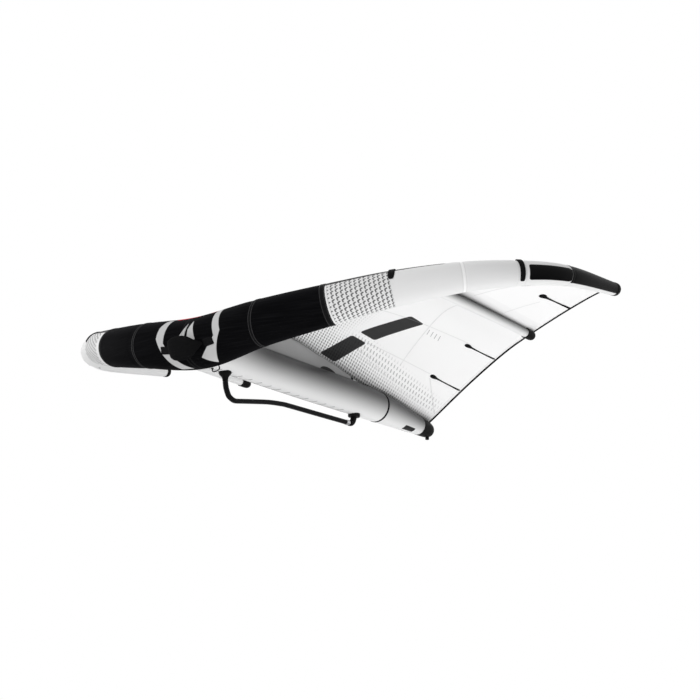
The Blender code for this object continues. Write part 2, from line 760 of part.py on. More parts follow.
def add_bladder(name, rings):
    """A thin bladder through outer and inner rings, drawn in to an open neck at each end."""
    outer, inner = rings
    for walls, radius in ((outer, BLADDER_NECK_RADIUS), (inner, BLADDER_NECK_RADIUS - BLADDER_WALL)):
        walls[0] = narrowed(walls[0], radius)
        walls[-1] = narrowed(walls[-1], radius)
    return add_tube(name, outer, inner, "clear_bladder")


def add_strut(le_tool):
    """The centre strut in its two panels, with the piping between them, its end cap and its bladder."""
    piping = BOOM_START + BOOM_LENGTH + STRUT_PIPING_BEHIND_BOOM
    cap = STRUT_CAP_SHARE * ROOT_CHORD
    half = STRUT_PIPING_WIDTH / 2
    knots = [row[0] * ROOT_CHORD for row in STRUT_SHARES]
    stretches = (
        ("strut_front_panel", knots[0], piping - half - GAP, "white_cloth"),
        ("strut_piping", piping - half, piping + half, "black_trim"),
        ("strut_rear_panel", piping + half + GAP, cap - GAP, "white_cloth"),
    )
    for name, first, last, finish in stretches:
        places = [first] + [knot for knot in knots if first < knot < last] + [last]
        outer = [strut_ring(place) for place in places]
        inner = [strut_ring(place, -CLOTH_WALL) for place in places]
        made = add_tube(name, outer, inner, finish)
        if name == "strut_front_panel":
            boolean(made, "DIFFERENCE", le_tool)
    outer, inner = [], []
    for place, share in STRUT_CAP_SHARES:
        outer.append(strut_ring(cap + place * (ROOT_CHORD - cap), 0, share))
        inner.append(strut_ring(cap + place * (ROOT_CHORD - cap - CAP_WALL), -CAP_WALL, share))
    end_cap = add_tube("strut_end_cap", outer, inner, "black_plastic", closed_end=True)
    y = STUD_SHARE * ROOT_CHORD
    stud = [(0, STUD_TOP), (STUD_RADIUS, STUD_TOP), (STUD_RADIUS, -STUD_HEIGHT), (0, -STUD_HEIGHT)]
    boolean(end_cap, "UNION", lathe("stud", stud, Matrix.Translation((0, y, strut_bottom(y)))))
    places = [share * ROOT_CHORD for share in STRUT_BLADDER_SHARES]
    add_bladder("strut_bladder", [[strut_ring(y, offset) for y in places] for offset in BLADDER_OFFSETS])


def add_web():
    """The upright web in the middle plane, between the strut, the leading edge and the canopy."""
    top = CANOPY_THICKNESS / 2 + SEWN_CLEARANCE
    nose, low = [le_point(0, side, SEWN_CLEARANCE) for side in WEB_NOSE_SIDES]
    height, radius = strut_at(low.y)
    foot = nose.lerp(low, (nose.z - height - radius - SEWN_CLEARANCE) / (nose.z - low.z))
    edges = [(nose.y, nose.z, foot.y, foot.z)]
    end = WEB_END_SHARE * ROOT_CHORD
    chord_end = (end - grid[0][0][1]) / (grid[0][-1][1] - grid[0][0][1])
    for chord in [row for row in chord_rows if 0 < row < chord_end] + [chord_end]:
        point = canopy_facet(0, chord)
        height, radius = strut_at(point.y)
        edges.append((point.y, point.z - top, point.y, height + radius + SEWN_CLEARANCE))
    half = WEB_THICKNESS / 2
    rings = [[(-half, a, b), (half, a, b), (half, c, d), (-half, c, d)] for a, b, c, d in edges]
    add_loft("web_panel", rings, "grey_web")


def boom_rings(points, growth=0):
    """The boom's rounded oblong section at each point of its run, drawn out by an amount."""
    aside, last = Vector((1, 0, 0)), len(points) - 1
    wide, high = BOOM_WIDTH / 2 + growth, BOOM_HEIGHT / 2 + growth
    turns = [2 * math.pi * (corner + 0.5) / BOOM_SIDES for corner in range(BOOM_SIDES)]
    rings = []
    for i, point in enumerate(points):
        over = aside.cross(points[min(i + 1, last)] - points[max(i - 1, 0)]).normalized()
        ring = []
        for turn in turns:
            power = BOOM_ROUNDNESS_SHARES[turn > math.pi]
            shares = [abs(share) ** power for share in (math.cos(turn), math.sin(turn))]
            out = math.copysign(shares[0] * wide, math.cos(turn))
            ring.append(point + out * aside + math.copysign(shares[1] * high, math.sin(turn)) * over)
        rings.append(ring)
    return rings


def add_boom(strut_tool):
    """The boom under the centre strut, with its two mounts and the collar."""
    rows = [(0, BOOM_START + y * BOOM_LENGTH, -drop * BOOM_DROP) for y, drop in BOOM_SHARES]

    def hung(row):
        """The point of a row, measured down from the strut."""
        return Vector((row[0], row[1], strut_bottom(row[1]) + row[2]))

    route = [hung(row) for row in smooth_line(rows, BOOM_STEPS_PER_ROW)]
    add_loft("boom_tube", boom_rings(route), "boom_black")
    collar = [hung(smooth_row(rows, place)) for place in COLLAR_ROWS]
    outer, inner = boom_rings(collar, 2 * GAP + COLLAR_WALL), boom_rings(collar, 2 * GAP)
    add_tube("boom_collar", outer, inner, "silver")

    foot = (0, BOOM_START, strut_bottom(BOOM_START))
    place = placed(foot, (1, 0, 0), (0, -FRONT_MOUNT_LEAN, 1))
    profile = [(0, FRONT_MOUNT_TOP), (FRONT_MOUNT_RADIUS, FRONT_MOUNT_TOP)]
    profile += [(radius * FRONT_MOUNT_RADIUS, -depth * FRONT_MOUNT_HEIGHT) for radius, depth in FRONT_MOUNT_SHARES]
    profile += [(0, -FRONT_MOUNT_HEIGHT)]
    mount = lathe("boom_front_mount", profile, place, "black_plastic")
    boolean(mount, "DIFFERENCE", strut_tool)

    end, before = route[-1], route[-2]
    points = [end + (end - before).normalized() * GAP]
    for y, drop in ELBOW_SHARES:
        points.append(hung((0, BOOM_START + y * BOOM_LENGTH, -drop * BOOM_DROP)))
    bend = [Vector(point) for point in smooth_line(points, 3)]
    elbow = add_loft("elbow", boom_rings(bend, ELBOW_WALL))
    y = BOOM_START + BOOM_LENGTH
    radius, depth, rounding = REAR_MOUNT_RADIUS, -REAR_MOUNT_DEPTH, REAR_MOUNT_ROUNDING
    profile = [
        (0, -depth), (radius, -depth), (radius, depth + rounding), (radius - rounding, depth), (0, depth),
    ]
    place = Matrix.Translation((0, y, strut_bottom(y)))
    mount = lathe("boom_rear_mount", profile, place, "black_plastic")
    boolean(mount, "UNION", elbow)
    boolean(mount, "DIFFERENCE", strut_tool)


def add_handle():
    """The padded handle, which swings on the two anchors sewn to the front of the leading edge."""
    first, last = HANDLE_STATIONS
    roll = HANDLE_SHARES[0][2] * HANDLE_WIDTH / 2
    end = le_place(first, HANDLE_SIDE)
    out = (end.col[2].to_3d() * Vector((0, 1, 1))).normalized()
    hinge = end.translation + out * (roll + 3 * GAP)
    half, hinge.x = hinge.x, spine(HANDLE_SHIFT)[0].x
    aside = Vector((1, 0, 0)).cross(out)
    rows = [(place, *shares) for place, *shares in HANDLE_SHARES]
    rows += [(-place, *shares) for place, *shares in HANDLE_SHARES[-2::-1]]
    turns = [2 * math.pi * corner / HANDLE_SECTION_SIDES for corner in range(HANDLE_SECTION_SIDES)]
    rings = []
    for place, standoff, width, thickness in smooth_line(rows, HANDLE_STEPS_PER_ROW):
        middle = hinge + Vector((place * half, 0, 0)) + out * standoff * HANDLE_STANDOFF
        wide, thick = aside * width * HANDLE_WIDTH / 2, out * thickness * HANDLE_THICKNESS / 2
        rings.append([middle + math.cos(turn) * wide + math.sin(turn) * thick for turn in turns])
    pad = add_loft("handle_pad", rings, "black_foam")
    set_origin(pad, hinge)
    start = first + stations_of(SEWN_CLEARANCE, first)
    corners = (HANDLE_SIDE - HANDLE_ANCHOR_SIDES, HANDLE_SIDE + HANDLE_ANCHOR_SIDES)
    for side_name, side in SIDES.items():
        places = [side * place + HANDLE_SHIFT for place in (start, last)]
        grids = []
        for offset in (GAP + HANDLE_ANCHOR_THICKNESS, GAP):
            grids.append([[le_point(place, corner, offset) for corner in corners] for place in places])
        add_slab("handle_anchor" + side_name, *grids, "black_trim")


def add_valve(le_tool, walls):
    """The inflation valve at the back of the leading edge, with its button and its hinged cap."""
    place = le_place(VALVE_STATION, VALVE_SIDE) @ Matrix.Rotation(math.pi, 4, "Z")
    flange = [
        (0, VALVE_HEIGHT), (VALVE_RADIUS, VALVE_HEIGHT), (VALVE_RADIUS, FLANGE_HEIGHT),
        (FLANGE_RADIUS - FLANGE_HEIGHT / 3, FLANGE_HEIGHT), (FLANGE_RADIUS, FLANGE_HEIGHT * 2 / 3),
        (FLANGE_RADIUS, -FLANGE_DEPTH), (0, -FLANGE_DEPTH),
    ]
    body = lathe("valve_body", flange, place, "black_plastic")
    boolean(body, "DIFFERENCE", le_tool)
    neck_top = FLANGE_HEIGHT / 2
    neck = [(0, neck_top), (NECK_RADIUS, neck_top), (NECK_RADIUS, -NECK_DEPTH), (0, -NECK_DEPTH)]
    under = -2 * NECK_DEPTH
    bore = [
        (0, 2 * VALVE_HEIGHT), (BORE_RADIUS, 2 * VALVE_HEIGHT), (BORE_RADIUS, -GUIDE_TOP),
        (GUIDE_RADIUS, -GUIDE_TOP), (GUIDE_RADIUS, under), (0, under),
    ]
    boolean(body, "UNION", lathe("neck", neck, place))
    boolean(body, "DIFFERENCE", lathe("bore", bore, place))

    skirt_inside = VALVE_RADIUS + SEWN_CLEARANCE
    cap_radius = skirt_inside + CAP_WALL
    cap_foot = VALVE_HEIGHT + GAP
    cap_top, skirt_foot = cap_foot + CAP_WALL, cap_foot - CAP_SKIRT
    profile = [
        (0, cap_top), (cap_radius, cap_top), (cap_radius, skirt_foot),
        (skirt_inside, skirt_foot), (skirt_inside, cap_foot), (0, cap_foot),
    ]
    cap = lathe("valve_cap", profile, place, "black_plastic")
    hinge_y = cap_radius + KNUCKLE_RADIUS + SEWN_CLEARANCE
    half = KNUCKLE_WIDTH / 2
    axis = place @ placed((-half, hinge_y, skirt_foot), (0, 0, 1), (1, 0, 0))
    knuckle = [(0, KNUCKLE_WIDTH), (KNUCKLE_RADIUS, KNUCKLE_WIDTH), (KNUCKLE_RADIUS, 0), (0, 0)]
    boolean(cap, "UNION", lathe("knuckle", knuckle, axis))
    low = (-half + GAP, cap_radius - CAP_WALL / 2, skirt_foot + PIN_RADIUS + GAP)
    high = (half - GAP, hinge_y + GAP, skirt_foot + KNUCKLE_RADIUS + PIN_RADIUS)
    boolean(cap, "UNION", add_box("link", low, high, place))
    hole = PIN_RADIUS + GAP
    drill = [(0, 2 * KNUCKLE_WIDTH), (hole, 2 * KNUCKLE_WIDTH), (hole, -KNUCKLE_WIDTH), (0, -KNUCKLE_WIDTH)]
    boolean(cap, "DIFFERENCE", lathe("drill", drill, axis))
    set_origin(cap, place @ Vector((0, hinge_y, skirt_foot)))
    for x in (-half - GAP - EAR_WIDTH, half + GAP):
        low = (x, hinge_y - KNUCKLE_RADIUS, FLANGE_HEIGHT / 3)
        high = (x + EAR_WIDTH, hinge_y + KNUCKLE_RADIUS, skirt_foot + KNUCKLE_RADIUS)
        boolean(body, "UNION", add_box("ear", low, high, place))
    ends = KNUCKLE_WIDTH + EAR_WIDTH, -EAR_WIDTH
    pin = [(0, ends[0]), (PIN_RADIUS, ends[0]), (PIN_RADIUS, ends[1]), (0, ends[1])]
    boolean(body, "UNION", lathe("pin", pin, axis))

    head_top = VALVE_HEIGHT - STEM_RECESS
    head_foot = head_top - STEM_HEAD_HEIGHT
    rod = GUIDE_RADIUS - GAP
    profile = [
        (0, head_top), (STEM_HEAD_RADIUS, head_top), (STEM_HEAD_RADIUS, head_foot),
        (rod, head_foot), (rod, -NECK_DEPTH - STEM_RECESS), (0, -NECK_DEPTH - STEM_RECESS),
    ]
    lathe("valve_stem", profile, place, "white_cloth")
    opening = NECK_RADIUS + GAP
    punch = [(0, NECK_DEPTH), (opening, NECK_DEPTH), (opening, -2 * NECK_DEPTH), (0, -2 * NECK_DEPTH)]
    tool = lathe("punch", punch, place)
    for wall in walls:
        boolean(wall, "DIFFERENCE", tool)


def add_hose():
    """The thin hose that joins the leading edge to the centre strut, with its two ports."""
    hose = HOSE_DIAMETER / 2
    shoulder = PORT_HEIGHT / 2
    profile = [
        (0, PORT_HEIGHT), (hose + GAP, PORT_HEIGHT), (hose + GAP, shoulder), (PORT_RADIUS, shoulder),
        (PORT_RADIUS, 2 * GAP), (0, 2 * GAP),
    ]
    lathe("hose_port_le", profile, le_place(LE_PORT_STATION, LE_PORT_SIDE), "black_plastic")
    y = STRUT_PORT_SHARE * LE_RADIUS
    place = placed((0, y, strut_bottom(y)), (1, 0, 0), (0, 0, -1))
    lathe("hose_port_strut", profile, place, "black_plastic")
    points = [Vector(point) for point in smooth_line(HOSE_POINTS, HOSE_STEPS_PER_ROW)]
    add_rod("one_pump_hose", points, hose, "black_hose")


def stand_on_footprint():
    """Moves the wing so that its lowest level is at zero and its footprint is centred."""
    bpy.context.view_layer.update()
    graph = bpy.context.evaluated_depsgraph_get()
    low, high = Vector((math.inf,) * 3), Vector((-math.inf,) * 3)
    for made in parts.objects:
        seen = made.evaluated_get(graph)
        for point in seen.to_mesh().vertices:
            world = seen.matrix_world @ point.co
            low = Vector(map(min, low, world))
            high = Vector(map(max, high, world))
        seen.to_mesh_clear()
    shift = Matrix.Translation((-(low.x + high.x) / 2, -(low.y + high.y) / 2, -low.z))
    for made in parts.objects:
        made.matrix_world = shift @ made.matrix_world


SIDES = {"_right": 1, "_left": -1}
lining = -CLOTH_WALL - SEWN_CLEARANCE
BLADDER_OFFSETS = (lining, lining - BLADDER_WALL)

clear_scene()
parts = new_collection("wingfoil_wing")
cutters = new_collection("cutters")
cutters.hide_render = True
chord_rows, grid = canopy_grid()

centre_tool = add_loft("le_centre_tool", [le_ring(place, GAP) for place in knots_between(-1, 1)])
strut_knots = [row[0] * ROOT_CHORD for row in STRUT_SHARES[:-1]]
strut_tool = add_loft("strut_tool", [strut_ring(y, GAP) for y in strut_knots])
add_leading_edge()
full, neck = BLADDER_STATIONS
bladder_places = [-neck] + knots_between(-full, full) + [neck]
bladder_rings = [[le_ring(place, offset)[::2] for place in bladder_places] for offset in BLADDER_OFFSETS]
le_bladder = add_bladder("le_bladder", bladder_rings)
add_canopy()
add_strut(centre_tool)
add_web()
for side_name, side in SIDES.items():
    places = [side * place for place in knots_between(MID_STRUT_STATION - 1, MID_STRUT_STATION + 1)]
    add_mid_strut(side_name, side, add_loft("le_side_tool", [le_ring(place, GAP) for place in places]))
    add_battens(side_name, side)
add_boom(strut_tool)
add_handle()
add_valve(centre_tool, (parts.objects["le_center_panel"], le_bladder))
add_hose()
stand_on_footprint()
for tool in list(cutters.objects):
    bpy.data.objects.remove(tool)
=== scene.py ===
"""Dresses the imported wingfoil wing: sewn, inflated and moulded pieces over the CAD frame.

The wing is worked out from the centre of its leading edge tube, as the CAD is, and then
moved to its place in the frame. X is the span, Y runs back to the trailing edge, Z is up.
A station is a place along the leading edge: 0 is the middle, 7 the end of a tip, and the
left half is negative. A turn is a place round a tube, from 0 to 1.
"""

import bmesh
import bpy
import numpy as np
from mathutils import Matrix, Vector


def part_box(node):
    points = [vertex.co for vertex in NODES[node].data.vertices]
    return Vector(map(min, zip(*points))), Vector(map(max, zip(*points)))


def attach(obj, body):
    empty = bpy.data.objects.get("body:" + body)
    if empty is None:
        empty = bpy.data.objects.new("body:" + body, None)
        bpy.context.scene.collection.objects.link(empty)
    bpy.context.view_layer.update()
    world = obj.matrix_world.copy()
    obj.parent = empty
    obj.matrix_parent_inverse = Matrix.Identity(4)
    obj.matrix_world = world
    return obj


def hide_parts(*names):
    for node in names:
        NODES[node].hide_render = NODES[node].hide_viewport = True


bl_info = {
    "name": "Wingfoil wing",
    "version": (1, 0, 0),
    "blender": (4, 5, 0),
    "location": "3D View > Sidebar > Wing",
    "description": "Builds the sewn and moulded pieces of an inflatable hand-held wing",
    "category": "Add Mesh",
}

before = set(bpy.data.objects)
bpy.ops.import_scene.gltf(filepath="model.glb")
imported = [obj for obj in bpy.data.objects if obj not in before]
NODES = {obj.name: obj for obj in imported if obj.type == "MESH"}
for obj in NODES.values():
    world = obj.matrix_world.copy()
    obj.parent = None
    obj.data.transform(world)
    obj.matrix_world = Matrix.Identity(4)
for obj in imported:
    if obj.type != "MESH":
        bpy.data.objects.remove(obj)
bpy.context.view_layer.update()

# The step in station or chord over which a direction is measured
NEAR = 1 / 400
# The centre of the leading edge tube in the frame, and the wing's overall sizes
LE_CENTRE = np.array((0.0, -0.915418, 0.244442))
HALF_SPAN = 1.581
SWEEP = 1.363
TIP_RISE = 0.385
ROOT_CHORD = 1.979
CAMBER = 0.14
LE_RADIUS = 0.130
STRUT_RADIUS = 0.097
TIP_STATION = 7
# x of the half span, y of the sweep, z of the tip's rise, radius of the middle's
SPINE = np.array((
    (0.000, 0.0270, 0.000, 1.000), (0.243, 0.0260, 0.104, 0.885), (0.460, 0.0995, 0.273, 0.777),
    (0.638, 0.2080, 0.470, 0.669), (0.801, 0.3400, 0.634, 0.562), (0.918, 0.4810, 0.745, 0.477),
    (0.996, 0.6530, 0.836, 0.392), (1.000, 1.0000, 1.000, 0.246),
))
# x of the half span, y of the root chord, z of the tip's rise
TRAILING_EDGE = np.array((
    (0.000, 1.0000, 0.030), (0.237, 0.9210, 0.395), (0.449, 0.8410, 0.636), (0.611, 0.7670, 0.714),
    (0.764, 0.7305, 0.867), (0.873, 0.7290, 1.031), (0.936, 0.7175, 1.075), (0.968, 0.7030, 1.068),
))
# Where the canopy meets the tube, how far it stands off it, and its seat over the struts
CANOPY_NOSE_TURN, CANOPY_NOSE_RISE, CANOPY_SEAT = 0.2, 0.0015, 0.0014
# Billow and centre's rise: (place along the chord, share of the camber). Fullness: (station, share of the camber)
BILLOW = np.array((
    (0.00, 0.00), (0.03, 0.20), (0.07, 0.42), (0.12, 0.62), (0.18, 0.79), (0.26, 0.93), (0.35, 1.00),
    (0.44, 0.98), (0.53, 0.90), (0.63, 0.75), (0.74, 0.53), (0.82, 0.36), (0.92, 0.15), (1.00, 0.00),
))
FULLNESS = np.array((
    (0, 0.90), (1, 1.05), (2, 0.95), (2.7, 0.50), (3.15, 0.12), (3.7, 0.24), (4.4, 0.32), (5, 0.32), (6, 0.20),
    (7, 0.02),
))
CENTRE_RISE = np.array((
    (0.00, 0.00), (0.03, 0.17), (0.07, 0.36), (0.12, 0.54), (0.18, 0.69), (0.26, 0.80), (0.35, 0.82),
    (0.44, 0.68), (0.53, 0.54), (0.63, 0.33), (1.00, 0.00),
))
CENTRE_BLEND = 0.8
# y of the root chord, height and radius as shares of the strut's largest radius
STRUT = np.array((
    (0.030, -0.110, 1.000), (0.403, -0.103, 0.985), (0.632, -0.062, 0.948), (0.742, -0.093, 0.887),
    (0.952, -0.360, 0.530), (1.000, -0.430, 0.450),
))
STRUT_PIPING_SHARE = 0.742
STRUT_CAP_SHARE = 0.940
WEB_END_SHARE = 0.629
MID_STRUT_STATION = 3.15
MID_STRUT_RADIUS = 0.0265
MID_STRUT_END_RADIUS = 0.0225
MID_STRUT_CAP_SHARE = 0.94
SEAM_STATIONS = (1, 2, 3, 4, 5, 6)
# station and place along the chord of each batten's two ends
BATTENS = {
    "inner": ((0.748, 0.845), (0.819, 0.990)),
    "middle": ((1.681, 0.832), (1.789, 0.990)),
    "outer": ((4.157, 0.717), (4.326, 0.990)),
}
# y along the boom and drop below the strut
BOOM_START, BOOM_LENGTH, BOOM_DROP = 0.2215, 1.0455, 0.134
BOOM = np.array((
    (0.0063, 0.338), (0.0081, 0.409), (0.0162, 0.604), (0.0337, 0.822), (0.0496, 0.901), (0.0730, 0.954),
    (0.0957, 0.942), (0.1531, 0.850), (0.2756, 0.656), (0.3345, 0.573), (0.4095, 0.501), (0.4859, 0.464),
    (0.8041, 0.425), (0.9630, 0.411),
))
ELBOW = np.array(((0.9630, 0.411), (0.971, 0.409), (0.981, 0.384), (0.9905, 0.300), (0.9965, 0.181), (1.000, 0.030)))
# the rows of BOOM between which the collar lies
COLLAR_ROWS = (12.79, 12.97)
HOSE_DIAMETER = 0.006
HOSE = np.array((
    (0.0765, 0.0956, -0.1157), (0.0767, 0.0985, -0.1212), (0.0720, 0.1040, -0.1255),
    (0.0590, 0.1130, -0.1278), (0.0400, 0.1210, -0.1288), (0.0200, 0.1262, -0.1284),
    (0.0072, 0.1283, -0.1258), (0.0010, 0.1286, -0.1214), (0.0000, 0.1286, -0.1163),
))
# The handle's turn, its shift in stations, and its end and its anchor's far end in stations from there
HANDLE_SIDE = 11.5 / 20
HANDLE_SHIFT = 0.045
HANDLE_STATION = 0.295
HANDLE_ANCHOR_STATION = 0.445
# place along half the handle, standoff, width and thickness
HANDLE = np.array((
    (0.985, 0.0022, 0.0050, 0.0034), (0.96, 0.0028, 0.0066, 0.0036), (0.92, 0.0062, 0.0160, 0.0045),
    (0.85, 0.0193, 0.0380, 0.0050), (0.76, 0.0331, 0.0600, 0.0070), (0.64, 0.0414, 0.0860, 0.0160),
    (0.40, 0.0451, 0.1120, 0.0200), (0.00, 0.0460, 0.1220, 0.0205),
))
# The hinge's middle in the frame, and the directions away from the tube and across the handle
HANDLE_HINGE = np.array((0.01733, -0.9986, 0.19361))
HANDLE_OUT, HANDLE_ASIDE = np.array((0.0, -0.892, -0.4515)), np.array((0.0, 0.4515, -0.892))
ANCHOR_TURN, ANCHOR_HEIGHT, ANCHOR_RISE = 0.025, 0.0028, 0.0003
# The sections and profiles of the boom's parts, the tips and the caps
# width, height and the power that rounds the corners
BOOM_SECTION = (0.0290, 0.0250, 0.90)
ELBOW_WALL = 0.0026
FRONT_MOUNT_RADIUS, FRONT_MOUNT_HEIGHT, FRONT_MOUNT_TOP, FRONT_MOUNT_LEAN = 0.033, 0.044, 0.012, 0.14
# share of the mount's radius and of its height, from the top down
FRONT_MOUNT = np.array((
    (1.0, 0.0), (1.0, 0.12), (0.97, 0.17), (0.80, 0.33), (0.62, 0.48), (0.50, 0.62), (0.45, 0.75), (0.44, 0.97),
    (0.40, 1.0),
))
REAR_MOUNT_RADIUS, REAR_MOUNT_DEPTH = 0.0335, 0.014
# inset from the mount's radius and rise over its foot
REAR_MOUNT_RIM = ((0.0, 0.004), (0.0007, 0.0018), (0.0025, 0.0005), (0.004, 0.0))
# how far the collar stands over the boom, from end to end
COLLAR = (0.0, 0.0016, 0.0020, 0.0021, 0.0021, 0.0021, 0.0020, 0.0016, 0.0)
# radius and height of the stud under the strut's end cap, and its share of the root chord
STUD = ((0, 0.0045), (0.011, 0.0045), (0.011, -0.0095), (0.0102, -0.0114), (0.0085, -0.012), (0, -0.012))
STUD_SHARE = 0.988
TIP_CAP_LENGTH = 0.034
# place along the cap and height over the tube's skin
TIP_CAP = np.array((
    (0.0, -0.002), (0.08, 0.0012), (0.3, 0.0014), (0.6, 0.0014), (0.75, 0.0008), (0.87, -0.0008), (0.95, -0.0030),
    (1.0, -0.0065), (1.0, -0.0120),
))
MID_STRUT_START, MID_STRUT_CAP_LAP, MID_STRUT_BLADDER_GAP = 0.012, 0.012, 0.003
# the rough length and girth of a slender strut's cloth
MID_STRUT_CLOTH = (1.5, 0.16)
# how far the caps stand over their struts, and their first two rows, which tuck the edge in
STRUT_CAP_WALL, STRUT_CAP_EDGE = 0.0010, (-0.003, 0.0008)
MID_STRUT_CAP_WALL, MID_STRUT_CAP_EDGE = 0.0048, (-0.002, 0.0048)
MID_STRUT_END_SHARE = 0.99
# place along the cap or the batten, share of its radius or width
STRUT_CAP = np.array(((0, 1), (0.30, 1.0), (0.55, 0.995), (0.72, 0.965), (0.85, 0.90), (0.94, 0.80), (1, 0.66)))
MID_STRUT_CAP = np.array(((0, 1), (0.40, 1.0), (0.62, 0.985), (0.78, 0.94), (0.90, 0.83), (1, 0.62)))
BATTEN_HEAD = np.array(((0.0, 1.2), (0.03, 2.5), (0.07, 2.75), (0.12, 2.6), (0.20, 1.25), (0.26, 1.0), (1.0, 1.0)))
BATTEN_WIDTH, BATTEN_HEIGHT, BATTEN_GAP = 0.0115, 0.0036, 0.0012
# The bladders: their gap inside the skin, and the (station, inset) of the leading edge's ends
BLADDER_GAP = 0.0035
EDGE_BLADDER_FULL = 6.85
EDGE_BLADDER_END = ((6.93, 0.020), (6.9, 0.010))
# share of the root chord at each knot of the strut's bladder, front to rear
STRUT_BLADDER = (0.0885, 0.0885, 0.0925, 0.1005, 0.2, 0.3, 0.403, 0.52, 0.632, 0.742, 0.85, 0.935, 0.941, 0.945,
                 0.945)
# share of the root chord where an end narrows, the way that it narrows and the radius that is left
STRUT_BLADDER_ENDS = ((0.0975, -1, 0.008), (0.936, 1, 0.0085))
STRUT_BLADDER_NARROWING = 0.014
# The skin's step and its lap at the ends, the corners round a tube, and the width and depth of the seams
SKIN_STEP, SKIN_LAP, TUBE_CORNERS = 0.007, 0.004, 97
SEAM_REACH, STRUT_SEAM_DEPTH, STRUT_STEP = 0.014, 0.0014, 0.009
# The tapes: their sunk edge, the power of their half oval, their widths and their raised ridges
TAPE_SUNK, TAPE_POWER = 0.0012, 0.45
STRUT_TAPE_WIDTH, STRUT_TAPE_HEIGHT, STRUT_TAPE_SUNK = 0.015, 0.0034, 0.002
PIPING_WIDTH, STRIPE_WIDTH, KINK_RING_WIDTH = 0.010, 0.030, 0.018
PIPING_RIDGE, STRIPE_RIDGE, RIDGE_WIDTH, RIDGE_HEIGHTS = 0.0062, 0.0100, 0.0030, 1.4
# name, station, width, first and last turn, lean and power of the outline of each padded bar
BARS = (("inner", 3.0, 0.032, 0.25, 0.46, 0.008, 3.5), ("outer", 5.01, 0.026, 0.25, 0.65, 0.0, 6.0))
LAID_GAP = 0.0002
# how far the inner seams lie along the tube from their station, and how far their tops lean out
PIPING_SHIFT = {"right": (0.016, 0.016), "left": (0.032, 0.0)}
# the stations where the black middle ends
MIDDLE_END = {"right": 2.0, "left": -1.905}
# How far the canopy's rows crowd to its ends, the tape along its trailing edge, and the web's places
CHORD_CROWDING = 0.04
HEM_END, HEM_INSET, HEM_HALF_HEIGHT = 6.97, 0.6, 0.0026
WEB_START, WEB_THICKNESS, WEB_TOP_GAP, WEB_FOOT_LAP = 0.105, 0.002, 0.0010, 0.0005
# The prints: the pale threads and grids of the cloths, the hooks' pitch and the canopy's seams, each from one
# (station, chord) to another
WHITE_THREAD = (0.74, 0.74, 0.75)
CLOTH_GRID, CANOPY_GRID, HOOK_PITCH = 0.006, 0.008, 0.0218
CANOPY_SEAMS = (
    ((0.577, 0.723), (2.565, 0.575)), ((1.30, 0.44), (1.744, 0.836)), ((0.60, 0.56), (0.761, 0.839)),
    ((0.700, 0.852), (0.191, 0.985)), ((3.30, 0.712), (3.997, 0.783)), ((3.33, 0.45), (5.9, 0.62)),
    ((2.565, 0.575), (2.95, 0.90)),
)
# The floor, the lamps (name, size, place, aim, watts), the surroundings' dim and full light, and the camera
FLOOR_REACH, FLOOR_LEVEL = 7.0, -2.45
LAMPS = (
    ("lamp_above", (6.0, 6.0), (0.0, 0.6, 4.2), (0, 0, 0.2), 62),
    ("lamp_below", (8.0, 7.0), (0.6, 0.3, -2.3), (0, 0.2, 0.2), 184),
    ("lamp_front", (3.0, 2.0), (0.8, -5.0, 2.6), (0.3, -0.5, 0.3), 105),
    ("lamp_side", (3.0, 3.0), (-5.2, -2.2, 0.6), (-1.0, -0.4, 0.4), 95),
)
WORLD_LEVELS = (0.35, 1.0)
CAMERA_LENS = 82.286
CAMERA_PLACE = (5.3784, -6.319918, -1.946958)
CAMERA_RIGHT, CAMERA_UP, CAMERA_FORWARD = (
    (0.78276, 0.62083, 0.04318), (0.13932, -0.24244, 0.96011), (-0.60653, 0.74552, 0.27626),
)
SIDES = {"right": 1, "left": -1}


# Curves and surfaces. Each takes whole arrays and gives points with x, y, z last.

def smooth_row(rows, places, mirrored=False):
    """A Catmull-Rom curve: (2b + (c-a)p + (2a-5b+4c-d)p2 + (3b-a-3c+d)p3) / 2 between rows b and c."""
    before = rows[1] * np.array([-1] + [1] * (rows.shape[1] - 1)) if mirrored else 2 * rows[0] - rows[1]
    knots = np.vstack([before, rows, 2 * rows[-1] - rows[-2]])
    places = np.asarray(places, float)
    index = np.clip(places.astype(int), 0, len(rows) - 2)
    p = (places - index)[..., None]
    a, b, c, d = (knots[index + ahead] for ahead in range(4))
    return (2 * b + (c - a) * p + (2 * a - 5 * b + 4 * c - d) * p ** 2 + (3 * b - a - 3 * c + d) * p ** 3) / 2


def smooth(rows, count):
    """A number of points on the Catmull-Rom curve through all the rows."""
    return smooth_row(rows, np.linspace(0, len(rows) - 1, count))


def curve(table, places):
    """A smooth value from a table of (place, value): Hermite pieces with the table's own mean slopes."""
    knots, values = table[:, 0], table[:, 1]
    slopes = np.gradient(values, knots)
    places = np.clip(places, knots[0], knots[-1])
    index = np.clip(np.searchsorted(knots, places, side="right") - 1, 0, len(knots) - 2)
    width = knots[index + 1] - knots[index]
    p = (places - knots[index]) / width
    rise = values[index + 1] - values[index]
    return (values[index] + rise * (3 * p ** 2 - 2 * p ** 3)
            + width * (slopes[index] * (p ** 3 - 2 * p ** 2 + p) + slopes[index + 1] * (p ** 3 - p ** 2)))


def unit(vectors):
    """The same vectors with a length of one."""
    return vectors / np.maximum(np.linalg.norm(vectors, axis=-1, keepdims=True), 1e-12)


def bell(values, middle, width):
    """A smooth hump: e to the minus ((value - middle) / width) squared."""
    return np.exp(-((values - middle) / width) ** 2)


